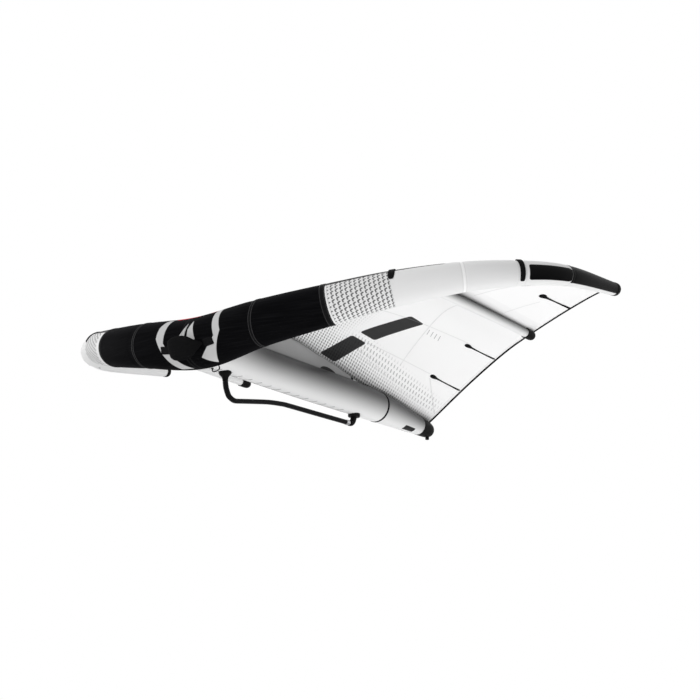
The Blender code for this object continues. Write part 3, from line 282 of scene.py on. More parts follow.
def spine(station):
    """The centre and radius of the leading edge tube: the smooth curve through SPINE, mirrored on the left."""
    station = np.asarray(station, float)
    row = smooth_row(SPINE, np.abs(station), mirrored=True)
    side = np.where(station < 0, -1.0, 1.0)
    centre = np.stack([side * row[..., 0] * HALF_SPAN, row[..., 1] * SWEEP, row[..., 2] * TIP_RISE], -1)
    return centre, row[..., 3] * LE_RADIUS


STEPS = np.linspace(-TIP_STATION, TIP_STATION, 1401)
RUNS = np.concatenate([[0], np.cumsum(np.linalg.norm(np.diff(spine(STEPS)[0], axis=0), axis=1))])
RUNS -= RUNS[-1] / 2


def run(station):
    """The length along the tube from its middle to a station, in metres."""
    return np.interp(station, STEPS, RUNS)


def moved(station, length):
    """The station that lies a length further along the tube."""
    return np.interp(run(station) + length, RUNS, STEPS)


def evenly(first, last, count):
    """A number of stations from the first to the last, at equal lengths along the tube."""
    return np.interp(np.linspace(run(first), run(last), count), RUNS, STEPS)


def tube(station, turn, growth=0.0):
    """The leading edge's round skin: centre + (radius + growth) (cos turn back + sin turn up)."""
    station, turn, growth = np.broadcast_arrays(np.asarray(station, float), turn, growth)
    place = np.abs(station)
    centre, radius = spine(place)
    along = unit(spine(np.minimum(place + NEAR, TIP_STATION))[0] - spine(place - NEAR)[0])
    up = unit(np.array((0.0, 0.0, 1.0)) - along * along[..., 2:])
    back = np.cross(up, along)
    angle = 2 * np.pi * turn[..., None]
    point = centre + (radius + growth)[..., None] * (np.cos(angle) * back + np.sin(angle) * up)
    point[..., 0] *= np.where(station < 0, -1.0, 1.0)
    return point


def necked(station, depth):
    """How far the seams draw the tube in: the depth times a bell at each seam."""
    seams = [side * seam for seam in SEAM_STATIONS for side in (-1, 1)]
    return -depth * sum(bell(run(station), run(seam), SEAM_REACH) for seam in seams)


def strut_at(y):
    """The height and radius of the centre strut at a distance behind the leading edge."""
    share = np.asarray(y, float) / ROOT_CHORD
    return curve(STRUT[:, :2], share) * STRUT_RADIUS, curve(STRUT[:, ::2], share) * STRUT_RADIUS


def strut(y, turn, growth=0.0, share=1.0):
    """The centre strut's upright circle: x = r cos turn, z = height + r sin turn."""
    y, turn, growth, share = np.broadcast_arrays(np.asarray(y, float), turn, growth, share)
    height, radius = strut_at(y)
    reach = radius * share + growth
    angle = 2 * np.pi * turn
    return np.stack([reach * np.cos(angle), y, height + reach * np.sin(angle)], -1)


def canopy(station, chord):
    """The canopy: a straight line from nose to trailing edge at each station, raised by the billow."""
    station, chord = np.broadcast_arrays(np.asarray(station, float), np.asarray(chord, float))
    place = np.abs(station)
    nose = tube(place, CANOPY_NOSE_TURN, CANOPY_NOSE_RISE)
    tail = smooth_row(TRAILING_EDGE, place) * np.array((HALF_SPAN, ROOT_CHORD, TIP_RISE))
    point = nose + (tail - nose) * chord[..., None]
    billow = CAMBER * curve(FULLNESS, place) * curve(BILLOW, chord)
    height, radius = strut_at(point[..., 1])
    on_strut = height + radius + CANOPY_SEAT - point[..., 2]
    centre = np.maximum(CAMBER * curve(CENTRE_RISE, chord), on_strut)
    share = (1 - np.minimum(place / CENTRE_BLEND, 1)) ** 2
    point[..., 2] += share * centre + (1 - share) * billow
    point[..., 0] *= np.where(station < 0, -1.0, 1.0)
    return point


def canopy_axes(station, chord):
    """The directions across, along and out of the canopy on its right half, and its metres for each station.

    All are worked out from close differences."""
    across = canopy(station + NEAR, chord) - canopy(station - NEAR, chord)
    along = canopy(station, np.minimum(chord + NEAR, 1)) - canopy(station, np.maximum(chord - NEAR, 0))
    return unit(across), unit(along), unit(np.cross(across, along)), np.linalg.norm(across, axis=-1) / NEAR / 2


def mid_strut(chord, turn, growth=0.0, share=1.0):
    """A slender strut under the canopy: centre + r (cos turn out + sin turn aside), tip side at a quarter turn."""
    chord, turn, growth, share = np.broadcast_arrays(np.asarray(chord, float), turn, growth, share)
    station = np.full(chord.shape, MID_STRUT_STATION)
    along, out = canopy_axes(station, chord)[1:3]
    radius = MID_STRUT_RADIUS + (MID_STRUT_END_RADIUS - MID_STRUT_RADIUS) * chord
    centre = canopy(station, chord) - out * (radius + CANOPY_SEAT)[..., None]
    angle = 2 * np.pi * turn[..., None]
    aside = np.cross(along, out)
    return centre + (radius * share + growth)[..., None] * (np.cos(angle) * out + np.sin(angle) * aside)


def ended(values, first, last):
    """A row of values with one more at each end."""
    return np.concatenate([[first], values, [last]])


def lengths(path):
    """The length along a path up to each of its points."""
    return np.concatenate([[0], np.cumsum(np.linalg.norm(np.diff(path, axis=0), axis=1))])


def cap_rows(table, count, wall, start):
    """An end cap's rows: their places, their shares of the radius and their growth over it.

    The first two rows after the front pole have growths of their own, which tuck the cap's edge in."""
    place = np.concatenate([[0, 0], np.linspace(0, 1, count), [1]])
    share = curve(table, place)
    share[0] = share[-1] = 0
    out = wall * (share > 0)
    out[1:3] = start
    return place[:, None], share[:, None], out[:, None]


def under_strut(y):
    """An upright place on the centre strut's underside."""
    height, radius = strut_at(y)
    return Matrix.Translation((0, y, float(height - radius)))


def squared(values, power):
    """The values to a power with their signs kept: below one, it squares a circle's outline."""
    return np.sign(values) * np.abs(values) ** power


def mirrored(points, side):
    """The same points, or their mirror image for the left half."""
    return points * np.array((side, 1.0, 1.0))


# Meshes

def surface(name, points, maps=None, closed=True, sharp=None, sides=None):
    """Makes a mesh from a grid of points: one quad between each four neighbours, joined where points meet.

    Rows that meet close a loop and a row of one point closes a pole. maps gives the UV maps as grids of
    (u, v). A closed piece has its faces turned outwards. sharp is the angle in degrees past which an edge
    stays hard."""
    rows, columns = points.shape[:2]
    corner = np.arange(rows * columns).reshape(rows, columns)
    quads = np.stack([corner[:-1, :-1], corner[1:, :-1], corner[1:, 1:], corner[:-1, 1:]], -1).reshape(-1, 4)
    mesh = bpy.data.meshes.new(name)
    mesh.from_pydata((points + LE_CENTRE).reshape(-1, 3).tolist(), [], quads.tolist())
    for title, grid in (maps or {}).items():
        layer = mesh.uv_layers.new(name=title)
        layer.data.foreach_set("uv", grid.reshape(-1, 2)[quads.ravel()].astype(np.float32).ravel())
    work = bmesh.new()
    work.from_mesh(mesh)
    bmesh.ops.remove_doubles(work, verts=work.verts, dist=2e-6)
    if closed:
        bmesh.ops.recalc_face_normals(work, faces=work.faces)
    work.to_mesh(mesh)
    work.free()
    mesh.shade_smooth()
    if sharp:
        mesh.set_sharp_from_angle(angle=np.radians(sharp))
    made = bpy.data.objects.new(name, mesh)
    bpy.context.scene.collection.objects.link(made)
    return made


def pair(u, v):
    """A UV map's grid from two arrays."""
    return np.stack(np.broadcast_arrays(u, v), -1)


def dress(piece, finish, *nodes, slot=None, body="wing"):
    """Gives a piece its finish and its body, and hides the CAD nodes that it stands for.

    The slot is not used."""
    piece.data.materials.append(finish_of(finish))
    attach(piece, body)
    if nodes:
        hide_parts(*nodes)
    return piece


def thicken(sheet, thickness):
    """Gives a sheet its thickness, half on each side."""
    wall = sheet.modifiers.new("thickness", "SOLIDIFY")
    wall.thickness = thickness
    wall.offset = 0


def skin(name, first, last, growth):
    """A stretch of the leading edge between two stations, drawn in at its seams and closed inside."""
    station = evenly(first, last, int(abs(run(last) - run(first)) / SKIN_STEP) + 2)
    out = necked(station, growth)
    station = ended(ended(station, first, last), first, last)
    radius = spine(station)[1]
    out = ended(ended(out, -SKIN_LAP, -SKIN_LAP), -radius[0], -radius[-1])
    turn = np.linspace(0, 1, TUBE_CORNERS)
    points = tube(station[:, None], turn, out[:, None])
    maps = {"place": pair(station[:, None], turn),
            "cloth": pair(run(station)[:, None], turn * 2 * np.pi * radius[:, None])}
    return surface(name, points, maps)


def hoop(name, station, width, height, shift=0.0, lean=0.0):
    """A tape round the leading edge: a half oval of the width and height carried once round the tube.

    The ring lies a shift along the tube from its station, plus the lean times the sine of its turn, so its top
    may stand further out than its bottom."""
    swing = np.linspace(0, np.pi, 13)
    turn = np.linspace(0, 1, TUBE_CORNERS)
    place = moved(station, -np.cos(swing)[:, None] * width / 2 + shift + lean * np.sin(2 * np.pi * turn))
    out = -TAPE_SUNK + (height + TAPE_SUNK) * np.sin(swing)[:, None] ** TAPE_POWER
    place, out = np.concatenate([place, place[:1]]), np.concatenate([out, out[:1]])
    points = tube(place, turn, out)
    maps = {"place": pair(place, turn), "cloth": pair(run(place), turn * 2 * np.pi * spine(station)[1])}
    return surface(name, points, maps)


def pad(name, at, height, power=5.0, base=-0.0006, rings=7, corners=72, map_scale=(1.0, 1.0)):
    """A raised patch: a rounded oblong |u|^p + |v|^p = 1, whose height falls to the base at its edge.

    at(u, v, rise) gives the points, with u and v from -1 to 1."""
    reach = np.concatenate([np.linspace(0, 0.8, rings), [0.9, 0.96, 0.99, 1.0]])
    rise = height * (1 - reach ** 12) ** 0.5
    reach = np.concatenate([reach, reach[::-1]])
    rise = np.concatenate([rise, np.full(len(rise), base)])
    angle = np.linspace(0, 2 * np.pi, corners + 1)
    norm = (np.abs(np.cos(angle)) ** power + np.abs(np.sin(angle)) ** power) ** (-1 / power)
    u = reach[:, None] * (norm * np.cos(angle))[None, :]
    v = reach[:, None] * (norm * np.sin(angle))[None, :]
    points = at(u, v, np.broadcast_to(rise[:, None], u.shape))
    return surface(name, points, {"cloth": pair(u * map_scale[0], v * map_scale[1])})


def turned(name, profile, place, corners=64, sharp=None):
    """A turned piece: a profile of (radius, height) rows carried round the Z axis of a place."""
    profile = np.asarray(profile, float)
    angle = np.linspace(0, 2 * np.pi, corners + 1)
    local = np.stack([profile[:, :1] * np.cos(angle), profile[:, :1] * np.sin(angle),
                      np.broadcast_to(profile[:, 1:], (len(profile), len(angle)))], -1)
    matrix = np.array(place)
    return surface(name, local @ matrix[:3, :3].T + matrix[:3, 3], sharp=sharp)


def swept(path, section, power, growth=0.0, corners=40):
    """Rings of a rounded section carried along a path in the middle plane: x aside, the other way over."""
    tangent = unit(np.gradient(path, axis=0))
    aside = np.array((1.0, 0.0, 0.0))
    over = unit(np.cross(aside, tangent))
    angle = np.linspace(0, 2 * np.pi, corners + 1)
    wide = (section[0] / 2 + growth) * squared(np.cos(angle), power)
    high = (section[1] / 2 + growth) * squared(np.sin(angle), power)
    return path[:, None] + wide[None, :, None] * aside + high[None, :, None] * over[:, None]


def capped(rings):
    """Rings with a pole at each end, which closes them."""
    first = np.broadcast_to(rings[0].mean(axis=0), rings[0].shape)[None]
    last = np.broadcast_to(rings[-1].mean(axis=0), rings[-1].shape)[None]
    return np.concatenate([first, rings, last])


# Materials

class Value:
    """A number that changes over a surface; arithmetic on it adds Math nodes."""

    def __init__(self, finish, socket):
        self.finish = finish
        self.socket = socket

    def math(self, operation, *values):
        """Adds one Math node over this number and others."""
        return self.finish.node("ShaderNodeMath", {"operation": operation}, (self, *values))

    def __add__(self, other):
        return self.math("ADD", other)

    def __sub__(self, other):
        return self.math("SUBTRACT", other)

    def __mul__(self, other):
        return self.math("MULTIPLY", other)

    def __truediv__(self, other):
        return self.math("DIVIDE", other)

    def __rsub__(self, other):
        return self.finish.node("ShaderNodeMath", {"operation": "SUBTRACT"}, (other, self))

    __radd__ = __add__
    __rmul__ = __mul__

    def __abs__(self):
        return self.math("ABSOLUTE")

    def fraction(self):
        """The part after the decimal point."""
        return self.math("FRACT")

    def either(self, other):
        """The larger of two masks."""
        return self.math("MAXIMUM", other)

    def rising(self, low, high):
        """0 below low, 1 above high and a smooth step between them."""
        settings = {"interpolation_type": "SMOOTHSTEP"}
        return self.finish.node("ShaderNodeMapRange", settings, (self, low, high, 0.0, 1.0))

    def within(self, low, high, soft):
        """1 between low and high, with soft edges."""
        half = (high - low) / 2
        return 1 - abs(self - (low + high) / 2).rising(half - soft, half + soft)


class Finish:
    """A material under construction."""

    def __init__(self, name, colour, roughness, gloss=0.5, metal=0.0):
        self.material = bpy.data.materials.new(name)
        self.material.use_nodes = True
        self.tree = self.material.node_tree
        self.shader = self.tree.nodes["Principled BSDF"]
        self.material.diffuse_color = (*colour, 1)
        self.set("Base Color", (*colour, 1))
        self.set("Roughness", roughness)
        self.set("Specular IOR Level", gloss)
        self.set("Metallic", metal)

    def set(self, socket, value):
        """Sets a constant on one of the shader's own sockets, or links what changes."""
        if isinstance(value, Value):
            self.tree.links.new(value.socket, self.shader.inputs[socket])
        else:
            self.shader.inputs[socket].default_value = value

    def node(self, kind, settings=None, inputs=(), output=0):
        """Adds a node: its settings first, then the values or links of its sockets."""
        made = self.tree.nodes.new(kind)
        for setting, value in (settings or {}).items():
            setattr(made, setting, value)
        for socket, value in (inputs.items() if isinstance(inputs, dict) else enumerate(inputs)):
            if isinstance(value, Value):
                self.tree.links.new(value.socket, made.inputs[socket])
            else:
                made.inputs[socket].default_value = value
        return Value(self, made.outputs[output])

    def read(self, title):
        """The two numbers of a UV map."""
        vector = self.node("ShaderNodeUVMap", {"uv_map": title})
        return self.split(vector)[:2]

    def split(self, vector):
        """The three numbers of a vector."""
        x = self.node("ShaderNodeSeparateXYZ", None, (vector,))
        node = x.socket.node
        return [Value(self, node.outputs[index]) for index in range(3)]

    def join(self, x, y, z=0.0):
        """A vector from three numbers."""
        return self.node("ShaderNodeCombineXYZ", None, (x, y, z))

    def spot(self):
        """The place in the object, in metres."""
        return self.node("ShaderNodeTexCoord", None, (), 3)

    def noise(self, vector, scale, detail=2.0, roughness=0.5):
        """Soft cloudy values about one half."""
        return self.node("ShaderNodeTexNoise", None, {"Vector": vector, "Scale": scale, "Detail": detail,
                                                     "Roughness": roughness})

    def blend(self, share, first, second):
        """The first colour turning into the second as the share goes from 0 to 1."""
        first, second = ((*colour, 1) if isinstance(colour, tuple) and len(colour) == 3 else colour
                         for colour in (first, second))
        return self.node("ShaderNodeMix", {"data_type": "RGBA"}, {0: share, 6: first, 7: second}, 2)

    def bump(self, height, depth):
        """Raises the surface by a height from 0 to 1 times a depth in metres."""
        self.set("Normal", self.node("ShaderNodeBump", None, {"Distance": depth, "Height": height, "Strength": 1.0}))


def stitches(line, along, places, pitch=0.004, half=0.0007):
    """Rows of thread dashes at places across a line, each dash six tenths of the pitch long."""
    dash = (along / pitch).fraction().within(0.2, 0.8, 0.08)
    rows = None
    for place in places:
        row = line.within(place - half, place + half, half / 2)
        rows = row if rows is None else rows.either(row)
    return rows * dash


def cell(u, v, pitch):
    """The place inside a square cell of a printed pattern, whose every other column is half a cell on."""
    column = u / pitch
    odd = (column * 0.5).fraction().rising(0.499, 0.501) * 0.5
    return column.fraction(), (v / pitch + odd).fraction()


def hooks(u, v, pitch):
    """Staggered hook marks: a slanted stroke and a foot that turns down from its lower end."""
    x, y = cell(u, v, pitch)
    stroke = segment(x, y, (0.92, 0.04), (0.34, 0.44), 0.16)
    return stroke.either(segment(x, y, (0.36, 0.38), (0.52, 0.92), 0.15))


def dashes(u, v, pitch, half):
    """Staggered slanted dashes, one in each cell."""
    x, y = cell(u, v, pitch)
    return segment(x, y, (0.18, 0.84), (0.82, 0.20), half)


def ripstop(u, v, pitch):
    """A square grid of thicker threads."""
    return (u / pitch).fraction().within(0.0, 0.14, 0.04).either((v / pitch).fraction().within(0.0, 0.14, 0.04))


def segment(x, y, start, end, half):
    """A straight line between two points of a plane, as a mask: near the line, and between its ends."""
    (ax, ay), (bx, by) = start, end
    length = float(np.hypot(bx - ax, by - ay))
    dx, dy = (bx - ax) / length, (by - ay) / length
    off = (x - ax) * -dy + (y - ay) * dx
    far = (x - ax) * dx + (y - ay) * dy
    return (1 - abs(off).rising(half * 0.7, half * 1.3)) * far.within(0.0, length, half * 0.5)


def leaf(x, y, middle, half, slope, corner):
    """A solid bar with rounded corners, as a mask: its core, shrunk by the corner, stays nearer than the corner.

    The bar rises by its slope along x."""
    over_x = (abs(x - middle[0]) - (half[0] - corner)).math("MAXIMUM", 0.0)
    over_y = (abs(y - (x - middle[0]) * slope - middle[1]) - (half[1] - corner)).math("MAXIMUM", 0.0)
    far = (over_x * over_x + over_y * over_y).math("SQRT")
    return 1 - far.rising(corner * 0.94, corner * 1.06)


def picked(title):
    """A colour that the user has picked."""
    return tuple(getattr(bpy.context.scene.wing_colours, title))


def plain(name, colour, roughness, grain, depth, gloss, metal):
    """A moulded or coated finish: fine noise on the object's own coordinates varies gloss and surface."""
    finish = Finish(name, colour, roughness, gloss, metal)
    cloud = finish.noise(finish.spot(), grain, 3.0)
    broad = finish.noise(finish.spot(), 9.0, 2.0)
    finish.set("Roughness", roughness - 0.06 + cloud * 0.06 + broad * 0.08)
    light = tuple(min(1.0, part * 1.25 + 0.004) for part in colour)
    finish.set("Base Color", finish.blend(broad * 0.6 + cloud * 0.4, colour, light))
    finish.bump(cloud, depth)
    return finish.material


def woven(name, colour, roughness, pitch, gloss):
    """Plain woven cloth or webbing on a piece's own cloth map: crossing ribs with a few paler threads."""
    finish = Finish(name, colour, roughness, gloss)
    u, v = finish.read("cloth")
    warp = (u / pitch).fraction().within(0.15, 0.85, 0.15)
    weft = (v / pitch).fraction().within(0.15, 0.85, 0.15)
    thread = finish.noise(finish.join(u * 14, v * 500), 1.0, 2.0)
    light = tuple(min(1.0, part * 1.8 + 0.012) for part in colour)
    finish.set("Base Color", finish.blend(thread * 0.5 + warp * 0.12, colour, light))
    finish.set("Roughness", roughness - 0.05 + thread * 0.1)
    finish.bump(warp * 0.5 + weft * 0.5, 0.00015)
    return finish.material


def between(value, low, high, soft):
    """1 where a value lies between two others that change over the surface, with soft edges."""
    return (value - low).rising(-soft, soft) * (high - value).rising(-soft, soft)


def black_weave(name):
    """The middle of the leading edge: black cloth with fine streaks, a painted sheen along its top, stitched seams
    and two pale curved bands.

    s is the station and t the turn: the prints run from t 0.33 on top to 0.74 underneath."""
    black = picked("black_cloth")
    finish = Finish(name, black, 0.6, gloss=0.005)
    s, t = finish.read("place")
    u, v = finish.read("cloth")
    streak = finish.noise(finish.join(u * 5, v * 190), 1.0, 3.0, 0.6)
    fleck = finish.noise(finish.join(u * 300, v * 300), 1.0, 1.0).rising(0.68, 0.78)
    # Painted sheen: the top of the tube, above t 0.30 to 0.46, is painted lighter in place of light on the cloth;
    # the mask below adds it to the cloth's real streaks and flecks
    above = 1 - t.rising(0.30, 0.46)
    streaks_and_painted_sheen = streak.rising(0.40, 0.85) * 0.35 + fleck * 0.10 + above * 0.40
    cloth = finish.blend(streaks_and_painted_sheen, black, (0.020, 0.020, 0.022))
    # The left band bends out above t 0.42 and below 0.53
    high, low = (0.42 - t).math("MAXIMUM", 0.0), (t - 0.53).math("MAXIMUM", 0.0)
    left = between(s, high * 0.5 + (t - 0.50).math("MAXIMUM", 0.0) - 0.49, low * 1.4 - 0.36, 0.005)
    left = left * t.within(0.335, 0.742, 0.004)
    # The right band widens into a foot below t 0.55, which ends on a slant
    foot = (t - 0.55).math("MAXIMUM", 0.0)
    right = between(s, t * 0.12 - foot * 3.0 + 0.45, t * 0.15 - low * 1.5 + 0.54, 0.005)
    right = right * t.rising(0.332, 0.338) * ((s - 0.2) * 0.7 + 0.655 - t).rising(-0.003, 0.003)
    # Two fins stand between the bands
    fins = between(s, (t - 0.42) * -1.55 + 0.04, (t - 0.42) * -0.3 + 0.05, 0.005) * t.within(0.415, 0.535, 0.003)
    taller = between(s, (0.46 - t).math("MAXIMUM", 0.0) + 0.075, (t - 0.40) * 0.6 + 0.135, 0.005)
    fins = fins.either(taller * t.within(0.398, 0.535, 0.003))
    bands = right.either(left).either(fins)
    cloth = finish.blend(bands * 0.96, cloth, picked("pale_band"))
    accent = t.within(0.27, 0.340, 0.003) * s.within(-0.30, 0.15, 0.01).either(s.within(0.35, 0.50, 0.01))
    cloth = finish.blend(accent, cloth, picked("accent"))
    seams = abs(s).within(0.023, 0.030, 0.002)
    cloth = finish.blend(seams * 0.5, cloth, (0.035, 0.035, 0.037))
    thread = stitches(s, v, (-0.036, -0.017, 0.017, 0.036), 0.005, 0.0022)
    cloth = finish.blend(thread * 0.4, cloth, (0.06, 0.06, 0.06))
    finish.set("Base Color", cloth)
    finish.set("Roughness", 0.56 + streak * 0.14)
    pucker = finish.noise(finish.join(s * 10, t * 90), 1.0, 1.0)
    near = 1 - abs(abs(abs(s) - 1) - 1).rising(0.0, 0.16)
    near = near.either(1 - abs(abs(s) - 1).rising(0.0, 0.14))
    finish.bump(streak * 0.08 + pucker * near * 0.9, 0.0016)
    return finish.material


def white_base(finish, u, v, stretch, share):
    """The clouds and the fine grid of a white cloth, and its slightly uneven colour, on its cloth map."""
    cloud = finish.noise(finish.join(u * 3, v * stretch), 1.0, 3.0)
    grid = ripstop(u, v, CLOTH_GRID)
    return cloud, grid, finish.blend(grid * share + cloud * share, picked("white_cloth"), WHITE_THREAD)


def edge_cloth(name):
    """The outer halves of the leading edge: white cloth with hook marks, a black patch and a black-topped tip."""
    finish = Finish(name, picked("white_cloth"), 0.45, gloss=0.07)
    s, t = finish.read("place")
    u, v = finish.read("cloth")
    s = abs(s)
    cloud, grid, cloth = white_base(finish, u, v, 30, 0.10)
    marks = hooks(abs(u), v, HOOK_PITCH) * s.within(2.07, 2.95, 0.01) * t.within(0.30, 0.76, 0.03)
    cloth = finish.blend(marks * 0.88, cloth, (0.05, 0.05, 0.053))
    tip = s.rising(5.97, 5.985) * t.within(0.14, 0.655, 0.006)
    patch = leaf(s, t * 2.2, (5.565, 1.166), (0.415, 0.235), 0.0, 0.06)
    line = t.rising(0.268, 0.272) * ((s - 2) * -0.020 + 0.378 - t).rising(-0.002, 0.002)
    line = line * s.within(2.0, 3.75, 0.05)
    cloth = finish.blend(tip.either(patch).either(line), cloth, (0.0010, 0.0010, 0.0012))
    grey = leaf(s, t * 4, (5.15, 3.12), (0.10, 0.045), 0.0, 0.044)
    cloth = finish.blend(grey * 0.8, cloth, (0.10, 0.10, 0.10))
    ring = s.within(3.982, 4.018, 0.005)
    cloth = finish.blend(ring, cloth, (0.95, 0.95, 0.95))
    thread = stitches(s, v, (2.955, 3.970, 4.030, 4.93, 5.09), 0.006, 0.004)
    cloth = finish.blend(thread * 0.30, cloth, (0.35, 0.35, 0.35))
    finish.set("Base Color", cloth)
    finish.set("Roughness", 0.40 + cloud * 0.12)
    pucker = finish.noise(finish.join(s * 9, t * 80), 1.0, 1.0)
    seam = 1 - abs((s + 0.5).fraction() - 0.5).rising(0.0, 0.12)
    finish.bump(pucker * seam * 0.8 + cloud * 0.10 + grid * 0.04, 0.0013)
    return finish.material


def canopy_cloth(name):
    """The canopy: thin white ripstop with printed dashes by the strut, plain bars, seams, a stitched hem and painted
    shade beside the struts.

    s is the station and c the share of the chord; x and y are rough metres across and back."""
    white = picked("canopy")
    finish = Finish(name, white, 0.5, gloss=0.15)
    s, c = finish.read("place")
    u, v = finish.read("cloth")
    s = abs(s)
    x, y = s * 0.36, c * 1.75
    across, back = finish.split(finish.spot())[:2]
    across = abs(across)
    cloud = finish.noise(finish.join(u * 2.0, v * 2.0), 1.0, 3.0)
    grid = ripstop(u, v, CANOPY_GRID)
    cloth = finish.blend(grid * 0.05 + cloud * 0.05, white, (0.80, 0.80, 0.81))
    # Small dashes by the nose and the strut, then longer ones that trail back beside the strut
    small = dashes(abs(u), v, 0.020, 0.18)
    front = (1 - (s + c * 1.1).rising(1.45, 2.30)) * (1 - c.rising(0.34, 0.50))
    by_strut = (1 - (s + (c - 0.4) * 0.9).rising(0.30, 0.75)) * c.within(0.36, 1.02, 0.05)
    nose = s.within(0.75, 2.95, 0.10) * (1 - c.rising(0.14, 0.24))
    where = (front * 0.85).either(by_strut * 0.75).either(nose * 0.85)
    cloth = finish.blend(small * where, cloth, (0.06, 0.06, 0.063))
    long = dashes(abs(u) * 0.7, v, 0.027, 0.12)
    trail = (s + (c - 0.55) * 0.55).within(0.38, 0.66, 0.10) * c.within(0.50, 0.965, 0.05)
    cloth = finish.blend(long * trail * 0.6, cloth, (0.20, 0.20, 0.20))
    bars = leaf(x, y, (0.400, 0.990), (0.148, 0.062), 0.39, 0.016)
    bars = bars.either(leaf(x, y, (0.112, 0.878), (0.098, 0.060), 0.32, 0.016))
    cloth = finish.blend(bars * 0.97, cloth, picked("black_cloth"))
    # A slanted block of four short ticks
    slant = x + (y - 1.27) * 2.03
    tick = ((slant - 0.351) / 0.0677 + 0.5).fraction().within(0.42, 0.58, 0.04) * slant.within(0.317, 0.588, 0.001)
    tick = tick * (y * 0.441 - x * 0.897 - slant * 0.169).within(-0.0204, 0.0266, 0.002)
    cloth = finish.blend(tick * 0.65, cloth, (0.15, 0.15, 0.15))
    seams = None
    for ends in CANOPY_SEAMS:
        first, last = (tuple((canopy(*end) + LE_CENTRE)[:2].tolist()) for end in ends)
        line = segment(across, back, first, last, 0.0030)
        seams = line if seams is None else seams.either(line)
    cloth = finish.blend(seams * 0.22, cloth, (0.30, 0.30, 0.31))
    hem = c.within(0.9835, 0.9850, 0.0005).either(c.within(0.9905, 0.9920, 0.0005))
    cloth = finish.blend(hem * 0.35, cloth, (0.35, 0.35, 0.35))
    # Painted shade beside the centre strut and on the tip side of each slender strut, and the pale strips that the
    # slender ones are sewn to
    shade = (1 - s.rising(0.02, 0.13)) * 0.35
    far = s - MID_STRUT_STATION
    beside = far.within(0.0, 0.34, 0.08) * (1 - (far + c * 0.22).rising(0.05, 0.36)) * 0.85
    strip = s.within(2.86, 3.04, 0.006).either(s.within(3.30, 3.46, 0.006)) * c.rising(0.0, 0.02) * 0.06
    cloth = finish.blend(shade.either(beside), cloth, (0.05, 0.05, 0.052))
    cloth = finish.blend(strip, cloth, (0.45, 0.45, 0.46))
    finish.set("Base Color", cloth)
    finish.set("Roughness", 0.46 + cloud * 0.12)
    finish.bump(seams * 0.7 + hem * 0.5 + cloud * 0.25 + grid * 0.03, 0.0012)
    return finish.material


def strut_cloth(name):
    """The centre strut: white cloth with painted shade under the canopy, and a ruler line along its underside that
    is partly print and partly painted shade.

    y is the distance behind the leading edge and t the turn: a quarter is on top."""
    finish = Finish(name, picked("white_cloth"), 0.4, gloss=0.25)
    y, t = finish.read("place")
    cloud, grid, cloth = white_base(finish, *finish.read("cloth"), 20, 0.08)
    # Painted shade: the strut is painted darker towards its top, under the canopy, and more so towards the rear
    high = abs((t + 0.25).fraction() - 0.5)
    shade = (1 - high.rising(0.16, 0.46)) * (y.rising(0.10, 0.50) * 0.35 + 0.60)
    cloth = finish.blend(shade, cloth, (0.030, 0.030, 0.031))
    # The ruler: printed slanted ticks beside a dark line, which is widened into a band that is partly print and
    # partly painted shade near the strut's lower edge
    slant = ((y - (t - 0.722) * 0.35) / 0.0745).fraction().within(0.0, 0.085, 0.02)
    ruler_and_edge_shade = t.within(0.692, 0.722, 0.002).either(slant * t.within(0.722, 0.790, 0.002))
    ruler_and_edge_shade = ruler_and_edge_shade * y.within(0.05, 1.20, 0.004)
    cloth = finish.blend(ruler_and_edge_shade * 0.9, cloth, (0.06, 0.06, 0.06))
    patch = leaf(y, 0.5 - high, (1.735, 0.075), (0.050, 0.045), 0.0, 0.010)
    cloth = finish.blend(patch, cloth, picked("black_cloth"))
    finish.set("Base Color", cloth)
    finish.set("Roughness", 0.36 + cloud * 0.12)
    pucker = finish.noise(finish.join(y * 30, t * 70), 1.0, 1.0)
    near = 1 - abs(y - STRUT_PIPING_SHARE * ROOT_CHORD).rising(0.0, 0.06)
    finish.bump(pucker * near * 0.8 + cloud * 0.12 + grid * 0.04, 0.0012)
    return finish.material


def slender_cloth(name):
    """The slender struts: white cloth with painted shade on the side towards the tip and under the canopy."""
    finish = Finish(name, picked("white_cloth"), 0.42, gloss=0.25)
    t = finish.read("place")[1]
    cloud, grid, cloth = white_base(finish, *finish.read("cloth"), 20, 0.08)
    # Painted shade: the strut is painted dark on its side towards the canopy and the tip
    side = 1 - t.rising(0.14, 0.46)
    cloth = finish.blend(side * 0.9 * t.rising(-0.01, 0.02), cloth, (0.02, 0.02, 0.021))
    finish.set("Base Color", cloth)
    finish.set("Roughness", 0.38 + cloud * 0.12)
    finish.bump(cloud * 0.3 + grid * 0.05, 0.001)
    return finish.material


def grey_cloth(name):
    """The upright web: grey cloth with a black half-oval patch near its rear end and darker hems."""
    grey, black = picked("grey_web"), (0.004, 0.004, 0.004)
    finish = Finish(name, grey, 0.55, gloss=0.3)
    y, z = finish.read("place")
    cloud = finish.noise(finish.join(y * 14, z * 3), 1.0, 3.0)
    cloth = finish.blend(cloud * 0.5, grey, (0.34, 0.34, 0.345))
    hem = 1 - z.within(0.05, 0.95, 0.02)
    cloth = finish.blend(hem * 0.5, cloth, (0.16, 0.16, 0.16))
    patch = (abs(y - 1.025) / 0.070).math("POWER", 2.0) + (z / 0.42).math("POWER", 2.0)
    cloth = finish.blend(1 - patch.rising(0.94, 1.04), cloth, black)
    cloth = finish.blend(y.rising(1.222, 1.228), cloth, black)
    finish.set("Base Color", cloth)
    finish.bump(cloud * 0.4 + hem * 0.5, 0.0008)
    return finish.material


